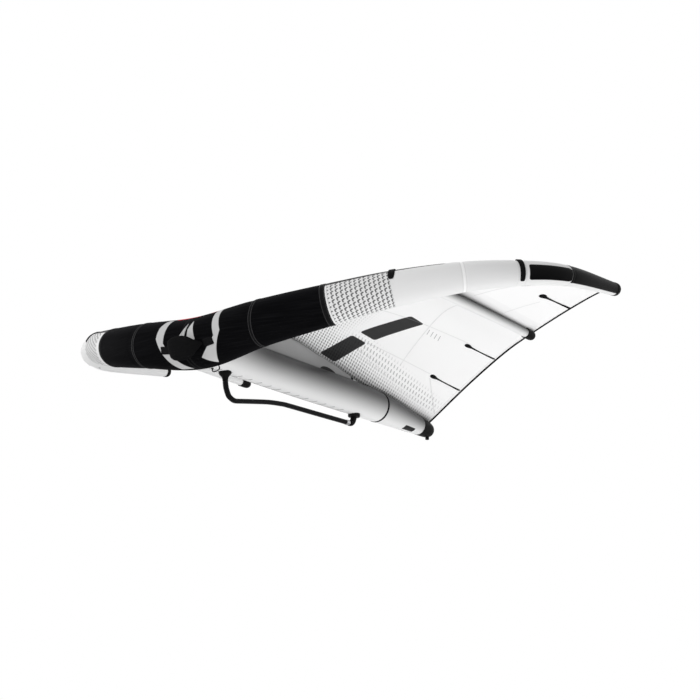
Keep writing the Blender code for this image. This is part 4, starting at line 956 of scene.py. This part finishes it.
def film(name):
    """The clear, slightly cloudy film of the bladders."""
    finish = Finish(name, (0.75, 0.78, 0.80), 0.3)
    cloud = finish.noise(finish.spot(), 30.0, 3.0)
    finish.set("Base Color", finish.blend(cloud, (0.72, 0.75, 0.78), (0.82, 0.84, 0.85)))
    finish.set("Alpha", 0.55 + cloud * 0.2)
    finish.bump(cloud, 0.0006)
    return finish.material


def floor_paint(name):
    """The pale studio floor."""
    finish = Finish(name, (0.80, 0.80, 0.80), 0.8)
    cloud = finish.noise(finish.spot(), 1.2, 2.0)
    finish.set("Base Color", finish.blend(cloud, (0.79, 0.79, 0.79), (0.82, 0.82, 0.82)))
    return finish.material


PRINTED = {
    "black_weave": black_weave, "edge_cloth": edge_cloth, "canopy_cloth": canopy_cloth, "strut_cloth": strut_cloth,
    "slender_cloth": slender_cloth, "grey_web": grey_cloth, "bladder_film": film, "floor": floor_paint,
}
# colour, roughness, pitch of the ribs and gloss
WOVEN = {
    "black_trim": ((0.0035, 0.0035, 0.004), 0.5, 0.0016, 0.01),
    "black_webbing": ((0.0035, 0.0035, 0.004), 0.6, 0.0022, 0.01),
    "black_foam": ((0.0015, 0.0015, 0.0018), 0.75, 0.0024, 0.02),
    "seam_tape": ((0.004, 0.004, 0.0045), 0.5, 0.0015, 0.01),
    "seam_ridge": ((0.024, 0.024, 0.025), 0.5, 0.0015, 0.10),
}
# colour, roughness, scale of the grain, its depth, gloss and metal
PLAIN = {
    "black_plastic": ((0.005, 0.005, 0.005), 0.38, 900.0, 0.00006, 0.04, 0.0),
    "valve_plastic": ((0.008, 0.008, 0.009), 0.5, 700.0, 0.00008, 0.20, 0.0),
    "white_plastic": ((0.80, 0.80, 0.79), 0.4, 700.0, 0.00005, 0.5, 0.0),
    "black_hose": ((0.008, 0.008, 0.008), 0.5, 1200.0, 0.00004, 0.15, 0.0),
    "boom_black": ((0.005, 0.005, 0.0055), 0.34, 1500.0, 0.00003, 0.05, 0.0),
    "silver": ((0.50, 0.50, 0.51), 0.32, 1500.0, 0.00003, 0.5, 1.0),
}
MADE = {}


def finish_of(name):
    """The material of a name, made the first time that it is asked for."""
    if name not in MADE:
        title = "wing_" + name
        if name in WOVEN:
            MADE[name] = woven(title, *WOVEN[name])
        elif name in PLAIN:
            MADE[name] = plain(title, *PLAIN[name])
        else:
            MADE[name] = PRINTED[name](title)
    return MADE[name]


# What a user would change

def colour_setting(title, told, value):
    """A colour with its title, what it is told to be and its value."""
    return bpy.props.FloatVectorProperty(name=title, description=told, subtype="COLOR", size=3, min=0, max=1,
                                         default=value)


def size_setting(title, told, least, most, value):
    """A length in metres with its title, what it is told to be, its limits and its value."""
    return bpy.props.FloatProperty(name=title, description=told, subtype="DISTANCE", unit="LENGTH", min=least,
                                   max=most, default=value)


class WingColours(bpy.types.PropertyGroup):
    """The colours of the wing."""

    black_cloth: colour_setting("Black cloth", "Middle of the leading edge and the printed bars",
                                (0.003, 0.003, 0.0035))
    white_cloth: colour_setting("White cloth", "Outer leading edge and struts", (0.83, 0.83, 0.83))
    canopy: colour_setting("Canopy", "Thin canopy cloth", (0.95, 0.95, 0.95))
    grey_web: colour_setting("Web", "Upright web over the centre strut", (0.42, 0.42, 0.42))
    pale_band: colour_setting("Pale bands", "Curved bands either side of the handle", (0.60, 0.60, 0.60))
    accent: colour_setting("Accent", "Two marks on top of the leading edge", (0.72, 0.03, 0.06))


class WingSizes(bpy.types.PropertyGroup):
    """The small sizes of the sewn pieces."""

    seam_depth: size_setting("Seam depth", "How far a seam draws the leading edge in", 0, 0.004, 0.0016)
    tape_height: size_setting("Tape height", "How far the seam tapes stand proud", 0.0005, 0.003, 0.0012)
    bar_height: size_setting("Bar height", "Thickness of the padded bars on the leading edge", 0.002, 0.008, 0.0052)
    canopy_thickness: size_setting("Canopy thickness", "Thickness of the canopy", 0.0004, 0.002, 0.0012)
    hem_width: size_setting("Hem width", "Width of the tape along the trailing edge", 0.004, 0.020, 0.016)


class WING_OT_leading_edge(bpy.types.Operator):
    """The leading edge: its black middle, its two white outer halves and the bladder inside"""

    bl_idname = "wing.leading_edge"
    bl_label = "Leading edge"

    def execute(self, context):
        """Carries the round skin along the spine."""
        depth = context.scene.wing_sizes.seam_depth
        middle = skin("leading_edge_middle", MIDDLE_END["left"], MIDDLE_END["right"], depth)
        dress(middle, "black_weave", "le_center_panel", "le_inner_panel_right", "le_inner_panel_left")
        cap = moved(TIP_STATION, -TIP_CAP_LENGTH)
        for name, side in SIDES.items():
            piece = skin("leading_edge_" + name, MIDDLE_END[name], side * cap, depth)
            nodes = [f"le_{part}_panel_{name}" for part in ("pattern", "mid", "outer", "kink", "tip")]
            dress(piece, "edge_cloth", *nodes, slot="white_cloth")
        full = np.linspace(-EDGE_BLADDER_FULL, EDGE_BLADDER_FULL, 240)
        ends, inset = np.array(EDGE_BLADDER_END).T
        ends, inset = np.append(ends[0], ends), np.append(spine(ends[0])[1], inset)
        station = np.concatenate([-ends, full, ends[::-1]])
        out = -np.concatenate([inset, np.full(len(full), BLADDER_GAP), inset[::-1]])
        turn = np.linspace(0, 1, 65)
        piece = surface("edge_bladder", tube(station[:, None], turn, out[:, None]))
        dress(piece, "bladder_film", "le_bladder", slot="clear_bladder")
        return {"FINISHED"}


class WING_OT_bands(bpy.types.Operator):
    """The tapes, padded bars and end caps of the leading edge"""

    bl_idname = "wing.bands"
    bl_label = "Tapes, bars and tip caps"

    def execute(self, context):
        """Lays raised tapes, bars and caps on the tube."""
        sizes = context.scene.wing_sizes
        for name, side in SIDES.items():
            shift, lean = PIPING_SHIFT[name]
            end = abs(MIDDLE_END[name])
            for kind, station, width, finish, place in (
                    ("piping", 1, PIPING_WIDTH, "seam_tape", (shift, lean)),
                    ("stripe", end, STRIPE_WIDTH, "seam_tape", (0, 0)),
                    ("kink_ring", 6, KINK_RING_WIDTH, "edge_cloth", (0, 0))):
                piece = hoop(f"edge_{kind}_{name}", side * station, width, sizes.tape_height, *place)
                dress(piece, finish, f"le_{kind}_{name}", slot="grey_piping")
            ridges = [(1, step + shift, lean) for step in (-PIPING_RIDGE, PIPING_RIDGE)]
            ridges += [(end, step, 0) for step in (-STRIPE_RIDGE, STRIPE_RIDGE)]
            high = sizes.tape_height * RIDGE_HEIGHTS
            for index, (station, *place) in enumerate(ridges):
                ridge = hoop(f"edge_ridge_{index}_{name}", side * station, RIDGE_WIDTH, high, *place)
                dress(ridge, "seam_ridge", slot="grey_piping")
            for kind, station, width, low, high, lean, power in BARS:
                middle, reach = (low + high) / 2, (high - low) / 2

                def at(u, v, rise):
                    """A place on the bar, whose top stands further in than its foot by twice the lean."""
                    place = moved(side * station, u * width / 2 - side * lean * v)
                    return tube(place, middle + v * reach, rise + LAID_GAP)

                piece = pad(f"edge_bar_{kind}_{name}", at, sizes.bar_height, power, corners=120,
                            map_scale=(width / 2, reach * 0.5))
                dress(piece, "black_trim", f"le_bar_{kind}_{name}")
            share = ended(TIP_CAP[:, 0], 0, 1)
            place = moved(side * TIP_STATION, side * -TIP_CAP_LENGTH * (1 - share))
            radius = spine(place)[1]
            out = ended(TIP_CAP[:, 1], -radius[0], -radius[-1])
            piece = surface(f"tip_cap_{name}", tube(place[:, None], np.linspace(0, 1, 73), out[:, None]))
            dress(piece, "black_plastic", f"le_tip_cap_{name}")
        return {"FINISHED"}


class WING_OT_canopy(bpy.types.Operator):
    """The canopy with the tape along its trailing edge"""

    bl_idname = "wing.canopy"
    bl_label = "Canopy"

    def execute(self, context):
        """One curved sheet from tip to tip, and a folded tape on its rear edge."""
        sizes = context.scene.wing_sizes
        station = evenly(-TIP_STATION, TIP_STATION, 321)
        chord = np.linspace(0, 1, 111)
        chord = chord - CHORD_CROWDING * np.sin(2 * np.pi * chord) / (2 * np.pi)
        points = canopy(station[:, None], chord)
        across = lengths(points[:, len(chord) // 2])
        across -= across[-1] / 2
        length = np.linalg.norm(points[:, -1] - points[:, 0], axis=1)
        maps = {"place": pair(station[:, None], chord),
                "cloth": pair(across[:, None], chord * length[:, None])}
        sheet = surface("canopy_cloth", points, maps, closed=False)
        thicken(sheet, sizes.canopy_thickness)
        dress(sheet, "canopy_cloth", "canopy", slot="white_canopy")
        station = np.clip(evenly(-TIP_STATION, TIP_STATION, 481), -HEM_END, HEM_END)
        path = canopy(station, np.ones(len(station)))
        tangent = unit(np.gradient(path, axis=0))
        chordwise = unit(path - canopy(station, np.full(len(station), 0.98)))
        over = unit(np.cross(tangent, chordwise))
        angle = np.linspace(0, 2 * np.pi, 17)
        wide = sizes.hem_width / 2
        rings = (path[:, None] + (wide * np.cos(angle) - wide * HEM_INSET)[None, :, None] * chordwise[:, None]
                 + (HEM_HALF_HEIGHT * np.sin(angle))[None, :, None] * over[:, None])
        along = lengths(path)
        along = ended(along, along[0], along[-1])
        hem = surface("trailing_hem", capped(rings), {"cloth": pair(along[:, None], angle * wide)})
        dress(hem, "black_trim")
        cells = np.cross(points[1:, 1:] - points[:-1, :-1], points[1:, :-1] - points[:-1, 1:])
        return {"FINISHED"}


class WING_OT_battens(bpy.types.Operator):
    """The six battens at the trailing edge, each with a wider head"""

    bl_idname = "wing.battens"
    bl_label = "Battens"

    def execute(self, context):
        """Lays each batten under the canopy on a straight run of stations and chords."""
        for name, side in SIDES.items():
            for kind, ((s0, c0), (s1, c1)) in BATTENS.items():

                def at(u, v, rise):
                    """A place on the batten, from its head to the trailing edge, below the canopy."""
                    share = (u + 1) / 2
                    station, chord = s0 + share * (s1 - s0), c0 + share * (c1 - c0)
                    out, span = canopy_axes(station, chord)[2:]
                    reach = BATTEN_WIDTH * curve(BATTEN_HEAD, share) / 2
                    point = canopy(station + v * reach / span, chord)
                    return mirrored(point - out * (BATTEN_GAP + rise)[..., None], side)

                piece = pad(f"batten_{kind}_piece_{name}", at, BATTEN_HEIGHT, 10.0, base=0.0, rings=5, corners=200,
                            map_scale=(0.11, 0.004))
                dress(piece, "black_trim", f"batten_{kind}_{name}")
        return {"FINISHED"}


class WING_OT_centre_strut(bpy.types.Operator):
    """The centre strut: two panels, the tape between them, the end cap with its stud and the bladder inside"""

    bl_idname = "wing.centre_strut"
    bl_label = "Centre strut"

    def execute(self, context):
        """Carries the upright circle back along the strut."""
        start, piping, cap = (share * ROOT_CHORD for share in (STRUT[0, 0], STRUT_PIPING_SHARE, STRUT_CAP_SHARE))
        turn = np.linspace(0, 1, 81)
        for part, first, last in (("front", start, piping), ("rear", piping, cap)):
            y = np.linspace(first, last, int((last - first) / STRUT_STEP) + 2)
            out = -STRUT_SEAM_DEPTH * bell(y, piping, SEAM_REACH)
            y = ended(y, first, last)
            out = ended(out, -strut_at(first)[1], -strut_at(last)[1])
            maps = {"place": pair(y[:, None], turn),
                    "cloth": pair(y[:, None], turn * 2 * np.pi * strut_at(y)[1][:, None])}
            piece = surface("strut_" + part, strut(y[:, None], turn, out[:, None]), maps)
            dress(piece, "strut_cloth", f"strut_{part}_panel", slot="white_cloth")
        swing = np.linspace(0, np.pi, 11)
        y = piping - np.cos(swing) * STRUT_TAPE_WIDTH / 2
        out = -STRUT_TAPE_SUNK + STRUT_TAPE_HEIGHT * np.sin(swing) ** TAPE_POWER
        y, out = np.append(y, y[0]), np.append(out, out[0])
        piece = surface("strut_seam_tape", strut(y[:, None], turn, out[:, None]),
                        {"cloth": pair(y[:, None], turn * 0.5)})
        dress(piece, "black_trim", "strut_piping")
        place, share, out = cap_rows(STRUT_CAP, 25, STRUT_CAP_WALL, STRUT_CAP_EDGE)
        piece = surface("strut_cap", strut(cap + place * (ROOT_CHORD - cap), turn, out, share))
        dress(piece, "black_plastic", "strut_end_cap")
        dress(turned("strut_stud", STUD, under_strut(STUD_SHARE * ROOT_CHORD), 40, 40), "black_plastic")
        count = len(STRUT_BLADDER)
        y = np.interp(np.linspace(0, count - 1, 85), np.arange(count), STRUT_BLADDER) * ROOT_CHORD
        radius = strut_at(y)[1]
        out = np.full(len(y), -BLADDER_GAP)
        for share, way, left in STRUT_BLADDER_ENDS:
            narrowed = np.clip(way * (y - share * ROOT_CHORD) / STRUT_BLADDER_NARROWING, 0, 1)
            out = np.minimum(out, -BLADDER_GAP - (radius - left - BLADDER_GAP) * narrowed)
        out[[0, -1]] = -radius[[0, -1]]
        piece = surface("strut_inner_tube", strut(y[:, None], np.linspace(0, 1, 49), out[:, None]))
        dress(piece, "bladder_film", "strut_bladder", slot="clear_bladder")
        return {"FINISHED"}


class WING_OT_web(bpy.types.Operator):
    """The upright web between the centre strut and the canopy"""

    bl_idname = "wing.web"
    bl_label = "Web"

    def execute(self, context):
        """A flat sheet in the middle plane between the strut's top line and the canopy's underside."""
        end = WEB_END_SHARE * ROOT_CHORD
        line = canopy(np.zeros(400), np.linspace(0, 1, 400))
        y = np.linspace(WEB_START, end, 160)
        height, radius = strut_at(y)
        top = np.interp(y, line[:, 1], line[:, 2]) - WEB_TOP_GAP
        bottom = height + radius - WEB_FOOT_LAP
        rise = np.linspace(0, 1, 9)
        z = bottom[:, None] + (top - bottom)[:, None] * rise
        points = np.stack([np.zeros(z.shape), np.broadcast_to(y[:, None], z.shape), z], -1)
        sheet = surface("web_cloth", points, {"place": pair(y[:, None], rise)}, closed=False)
        thicken(sheet, WEB_THICKNESS)
        dress(sheet, "grey_web", "web_panel")
        area = float(np.sum((top - bottom)[1:] * np.diff(y)))
        flat = (float(end - y[0]), float((top - bottom).max()))
        return {"FINISHED"}


class WING_OT_slender_struts(bpy.types.Operator):
    """The two slender struts under the canopy with their caps and bladders"""

    bl_idname = "wing.slender_struts"
    bl_label = "Slender struts"

    def execute(self, context):
        """Hangs a tapering tube under the canopy on each side."""
        turn = np.linspace(0, 1, 65)
        for name, side in SIDES.items():
            chord = np.linspace(MID_STRUT_START, MID_STRUT_CAP_SHARE, 130)
            chord = ended(chord, chord[0], chord[-1])
            share = np.ones(len(chord))
            share[[0, -1]] = 0
            points = mirrored(mid_strut(chord[:, None], turn, 0.0, share[:, None]), side)
            maps = {"place": pair(chord[:, None], turn),
                    "cloth": pair(chord[:, None] * MID_STRUT_CLOTH[0], turn * MID_STRUT_CLOTH[1])}
            dress(surface("slender_strut_" + name, points, maps), "slender_cloth", "mid_strut_" + name,
                  slot="white_cloth")
            place, share, out = cap_rows(MID_STRUT_CAP, 21, MID_STRUT_CAP_WALL, MID_STRUT_CAP_EDGE)
            start = MID_STRUT_CAP_SHARE - MID_STRUT_CAP_LAP
            points = mirrored(mid_strut(start + place * (MID_STRUT_END_SHARE - start), turn, out, share), side)
            dress(surface("slender_cap_" + name, points), "black_plastic", "mid_strut_cap_" + name)
            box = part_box("mid_strut_bladder_" + name)
            chord = np.linspace(0, 1, 60)
            back = canopy(np.full(60, MID_STRUT_STATION), chord)[:, 1]
            ends = [np.interp(box[end][1] - LE_CENTRE[1], back, chord) for end in (0, 1)]
            chord = np.linspace(*ends, 70)
            share = np.clip(np.minimum(np.arange(70), np.arange(70)[::-1]) / 3, 0, 1)[:, None] ** 0.5
            inside = mid_strut(chord[:, None], np.linspace(0, 1, 33), -MID_STRUT_BLADDER_GAP * share, share)
            piece = surface("slender_inner_tube_" + name, mirrored(inside, side))
            dress(piece, "bladder_film", "mid_strut_bladder_" + name, slot="clear_bladder")
        return {"FINISHED"}


class WING_OT_boom(bpy.types.Operator):
    """The boom with its collar and its two mounts"""

    bl_idname = "wing.boom"
    bl_label = "Boom"

    def execute(self, context):
        """Carries a rounded section along the boom's line, measured down from the strut."""
        def hung(rows):
            """The points of rows of (share along the boom, share of its drop below the strut)."""
            y = BOOM_START + rows[:, 0] * BOOM_LENGTH
            height, radius = strut_at(y)
            return np.stack([np.zeros(len(y)), y, height - radius - rows[:, 1] * BOOM_DROP], -1)

        wide, high, power = BOOM_SECTION
        path = hung(smooth(BOOM, 14 * len(BOOM) - 13))
        dress(surface("boom_bar", capped(swept(path, (wide, high), power))), "boom_black", "boom_tube")
        path = hung(smooth_row(BOOM, np.linspace(*COLLAR_ROWS, len(COLLAR))))
        rings = np.stack([swept(path, (wide, high), power, grow)[index] for index, grow in enumerate(COLLAR)])
        dress(surface("boom_band", capped(rings)), "silver", "boom_collar")

        z = Vector((0, -FRONT_MOUNT_LEAN, 1)).normalized()
        x = Vector((1, 0, 0))
        place = Matrix((x, z.cross(x), z)).transposed().to_4x4()
        place.translation = under_strut(BOOM_START).translation
        profile = [(0, FRONT_MOUNT_TOP), (FRONT_MOUNT_RADIUS, FRONT_MOUNT_TOP)]
        rows = smooth(FRONT_MOUNT, 46)
        profile += [(share * FRONT_MOUNT_RADIUS, -depth * FRONT_MOUNT_HEIGHT) for share, depth in rows.tolist()]
        profile += [(0, -FRONT_MOUNT_HEIGHT)]
        dress(turned("front_mount", profile, place, 64, 50), "black_plastic", "boom_front_mount")

        path = hung(smooth(ELBOW, 51))
        piece = surface("rear_elbow", capped(swept(path, (wide, high), power, ELBOW_WALL)))
        dress(piece, "black_plastic", "boom_rear_mount")
        profile = [(0, REAR_MOUNT_DEPTH), (REAR_MOUNT_RADIUS, REAR_MOUNT_DEPTH)]
        profile += [(REAR_MOUNT_RADIUS - inset, rise - REAR_MOUNT_DEPTH) for inset, rise in REAR_MOUNT_RIM]
        profile += [(0, -REAR_MOUNT_DEPTH)]
        dress(turned("rear_mount", profile, under_strut(BOOM_START + BOOM_LENGTH), 64, 40), "black_plastic")
        return {"FINISHED"}


class WING_OT_handle(bpy.types.Operator):
    """The padded handle on the front of the leading edge and its two sewn anchors"""

    bl_idname = "wing.handle"
    bl_label = "Handle"

    def execute(self, context):
        """Carries an oval section along the handle's bow, and lays a webbing pad at each end."""
        rows = np.concatenate([HANDLE, HANDLE[-2::-1] * np.array((-1, 1, 1, 1))])
        row = smooth(rows, 8 * len(rows) - 7)
        half = abs(tube(HANDLE_STATION, HANDLE_SIDE)[0])
        middle = HANDLE_HINGE - LE_CENTRE + row[:, :1] * half * np.array((1.0, 0, 0)) + row[:, 1:2] * HANDLE_OUT
        angle = np.linspace(0, 2 * np.pi, 49)
        flat = row[:, None, 2:3] / 2 * squared(np.cos(angle), 0.9)[:, None] * HANDLE_ASIDE
        thick = row[:, None, 3:4] / 2 * squared(np.sin(angle), 0.8)[:, None] * HANDLE_OUT
        rings = capped(middle[:, None] + flat + thick)
        along = ended(row[:, 0], row[0, 0], row[-1, 0]) * half
        pad_piece = surface("handle_cushion", rings, {"cloth": pair(along[:, None], angle * 0.04)})
        dress(pad_piece, "black_foam", "handle_pad", body="handle")
        reach = (HANDLE_ANCHOR_STATION - HANDLE_STATION) / 2
        for name, side in SIDES.items():
            station = side * (HANDLE_STATION + HANDLE_ANCHOR_STATION) / 2 + HANDLE_SHIFT

            def at(u, v, rise):
                """A place on the anchor."""
                return tube(station + u * reach, HANDLE_SIDE + v * ANCHOR_TURN, rise + ANCHOR_RISE)

            piece = pad(f"handle_anchor_strap_{name}", at, ANCHOR_HEIGHT, 12.0, corners=96, map_scale=(0.025, 0.017))
            dress(piece, "black_webbing", "handle_anchor_" + name)
        return {"FINISHED"}


class WING_OT_valve_and_hose(bpy.types.Operator):
    """The inflation valve's and ports' finishes, and the thin hose between the tubes"""

    bl_idname = "wing.valve_and_hose"
    bl_label = "Valve and hose"

    def execute(self, context):
        """Gives the CAD's turned parts their finishes and lays the hose on its route."""
        for node in ("valve_body", "valve_cap", "valve_stem", "hose_port_le", "hose_port_strut"):
            for place in NODES[node].material_slots:
                place.material = finish_of("white_plastic" if node == "valve_stem" else "valve_plastic")
        route = smooth(HOSE, 33) + LE_CENTRE
        line = bpy.data.curves.new("inflation_hose", "CURVE")
        line.dimensions = "3D"
        line.bevel_depth = HOSE_DIAMETER / 2
        line.bevel_resolution = 6
        line.use_fill_caps = True
        spline = line.splines.new("POLY")
        spline.points.add(len(route) - 1)
        spline.points.foreach_set("co", np.column_stack([route, np.ones(len(route))]).ravel())
        hose = bpy.data.objects.new("inflation_hose", line)
        context.scene.collection.objects.link(hose)
        dress(hose, "black_hose", "one_pump_hose")
        return {"FINISHED"}


class WING_OT_stage(bpy.types.Operator):
    """The pale floor, the soft lamps, the white surroundings and the camera"""

    bl_idname = "wing.stage"
    bl_label = "Stage"

    def execute(self, context):
        """Sets the object in the air over a floor, lit softly from above, below, in front and one side."""
        scene = context.scene
        corner = np.array((-FLOOR_REACH, FLOOR_REACH))
        points = np.stack(np.broadcast_arrays(corner[:, None], corner[None, :], FLOOR_LEVEL), -1) - LE_CENTRE
        floor = surface("studio_floor", points[:, ::-1], closed=False)
        floor.data.materials.append(finish_of("floor"))
        for name, size, place, aim, power in LAMPS:
            lamp = bpy.data.lights.new(name, "AREA")
            lamp.shape = "RECTANGLE"
            lamp.size, lamp.size_y = size
            lamp.energy = power
            made = bpy.data.objects.new(name, lamp)
            made.location = place
            made.rotation_euler = (Vector(aim) - Vector(place)).to_track_quat("-Z", "Y").to_euler()
            made.visible_camera = False
            made.visible_glossy = name != "lamp_below"
            scene.collection.objects.link(made)
        world = bpy.data.worlds.new("white_surroundings")
        scene.world = world
        world.use_nodes = True
        tree = world.node_tree
        rays = tree.nodes.new("ShaderNodeLightPath")
        seen = rays.outputs["Is Camera Ray"]
        for other in ("Is Glossy Ray", "Is Transmission Ray"):
            either = tree.nodes.new("ShaderNodeMath")
            either.operation = "MAXIMUM"
            tree.links.new(seen, either.inputs[0])
            tree.links.new(rays.outputs[other], either.inputs[1])
            seen = either.outputs[0]
        level = tree.nodes.new("ShaderNodeMapRange")
        tree.links.new(seen, level.inputs["Value"])
        level.inputs["To Min"].default_value, level.inputs["To Max"].default_value = WORLD_LEVELS
        light = tree.nodes["Background"]
        light.inputs["Color"].default_value = (1, 1, 1, 1)
        tree.links.new(level.outputs["Result"], light.inputs["Strength"])
        camera = bpy.data.cameras.new("photo_camera")
        camera.lens, camera.sensor_width = CAMERA_LENS, 36
        camera.clip_end = 60
        made = bpy.data.objects.new("photo_camera", camera)
        turn = Matrix((CAMERA_RIGHT, CAMERA_UP, [-part for part in CAMERA_FORWARD])).transposed().to_4x4()
        made.matrix_world = Matrix.Translation(CAMERA_PLACE) @ turn
        scene.collection.objects.link(made)
        scene.camera = made
        scene.view_settings.view_transform = "Standard"
        return {"FINISHED"}


class WING_PT_pieces(bpy.types.Panel):
    """Lists the wing's pieces"""

    bl_label = "Wingfoil wing"
    bl_space_type = "VIEW_3D"
    bl_region_type = "UI"
    bl_category = "Wing"

    def draw(self, context):
        """One button for each piece, then the colours and the small sizes."""
        for operator in OPERATORS:
            self.layout.operator(operator.bl_idname)
        for group in (context.scene.wing_colours, context.scene.wing_sizes):
            for title in group.__annotations__:
                self.layout.prop(group, title)


OPERATORS = (
    WING_OT_stage, WING_OT_valve_and_hose, WING_OT_leading_edge, WING_OT_bands, WING_OT_centre_strut, WING_OT_canopy,
    WING_OT_web, WING_OT_battens, WING_OT_slender_struts, WING_OT_boom, WING_OT_handle,
)
CLASSES = (WingColours, WingSizes, *OPERATORS, WING_PT_pieces)


def register():
    """Registers the classes and hangs the settings on the scene."""
    for made in CLASSES:
        bpy.utils.register_class(made)
    bpy.types.Scene.wing_colours = bpy.props.PointerProperty(type=WingColours)
    bpy.types.Scene.wing_sizes = bpy.props.PointerProperty(type=WingSizes)


def unregister():
    """Takes the settings and the classes away again."""
    del bpy.types.Scene.wing_sizes
    del bpy.types.Scene.wing_colours
    for made in reversed(CLASSES):
        bpy.utils.unregister_class(made)


def main():
    """Makes every piece in order."""
    register()
    for operator in OPERATORS:
        group, name = operator.bl_idname.split(".")
        getattr(getattr(bpy.ops, group), name)()
    bpy.context.view_layer.update()


if __name__ == "__main__":
    main()
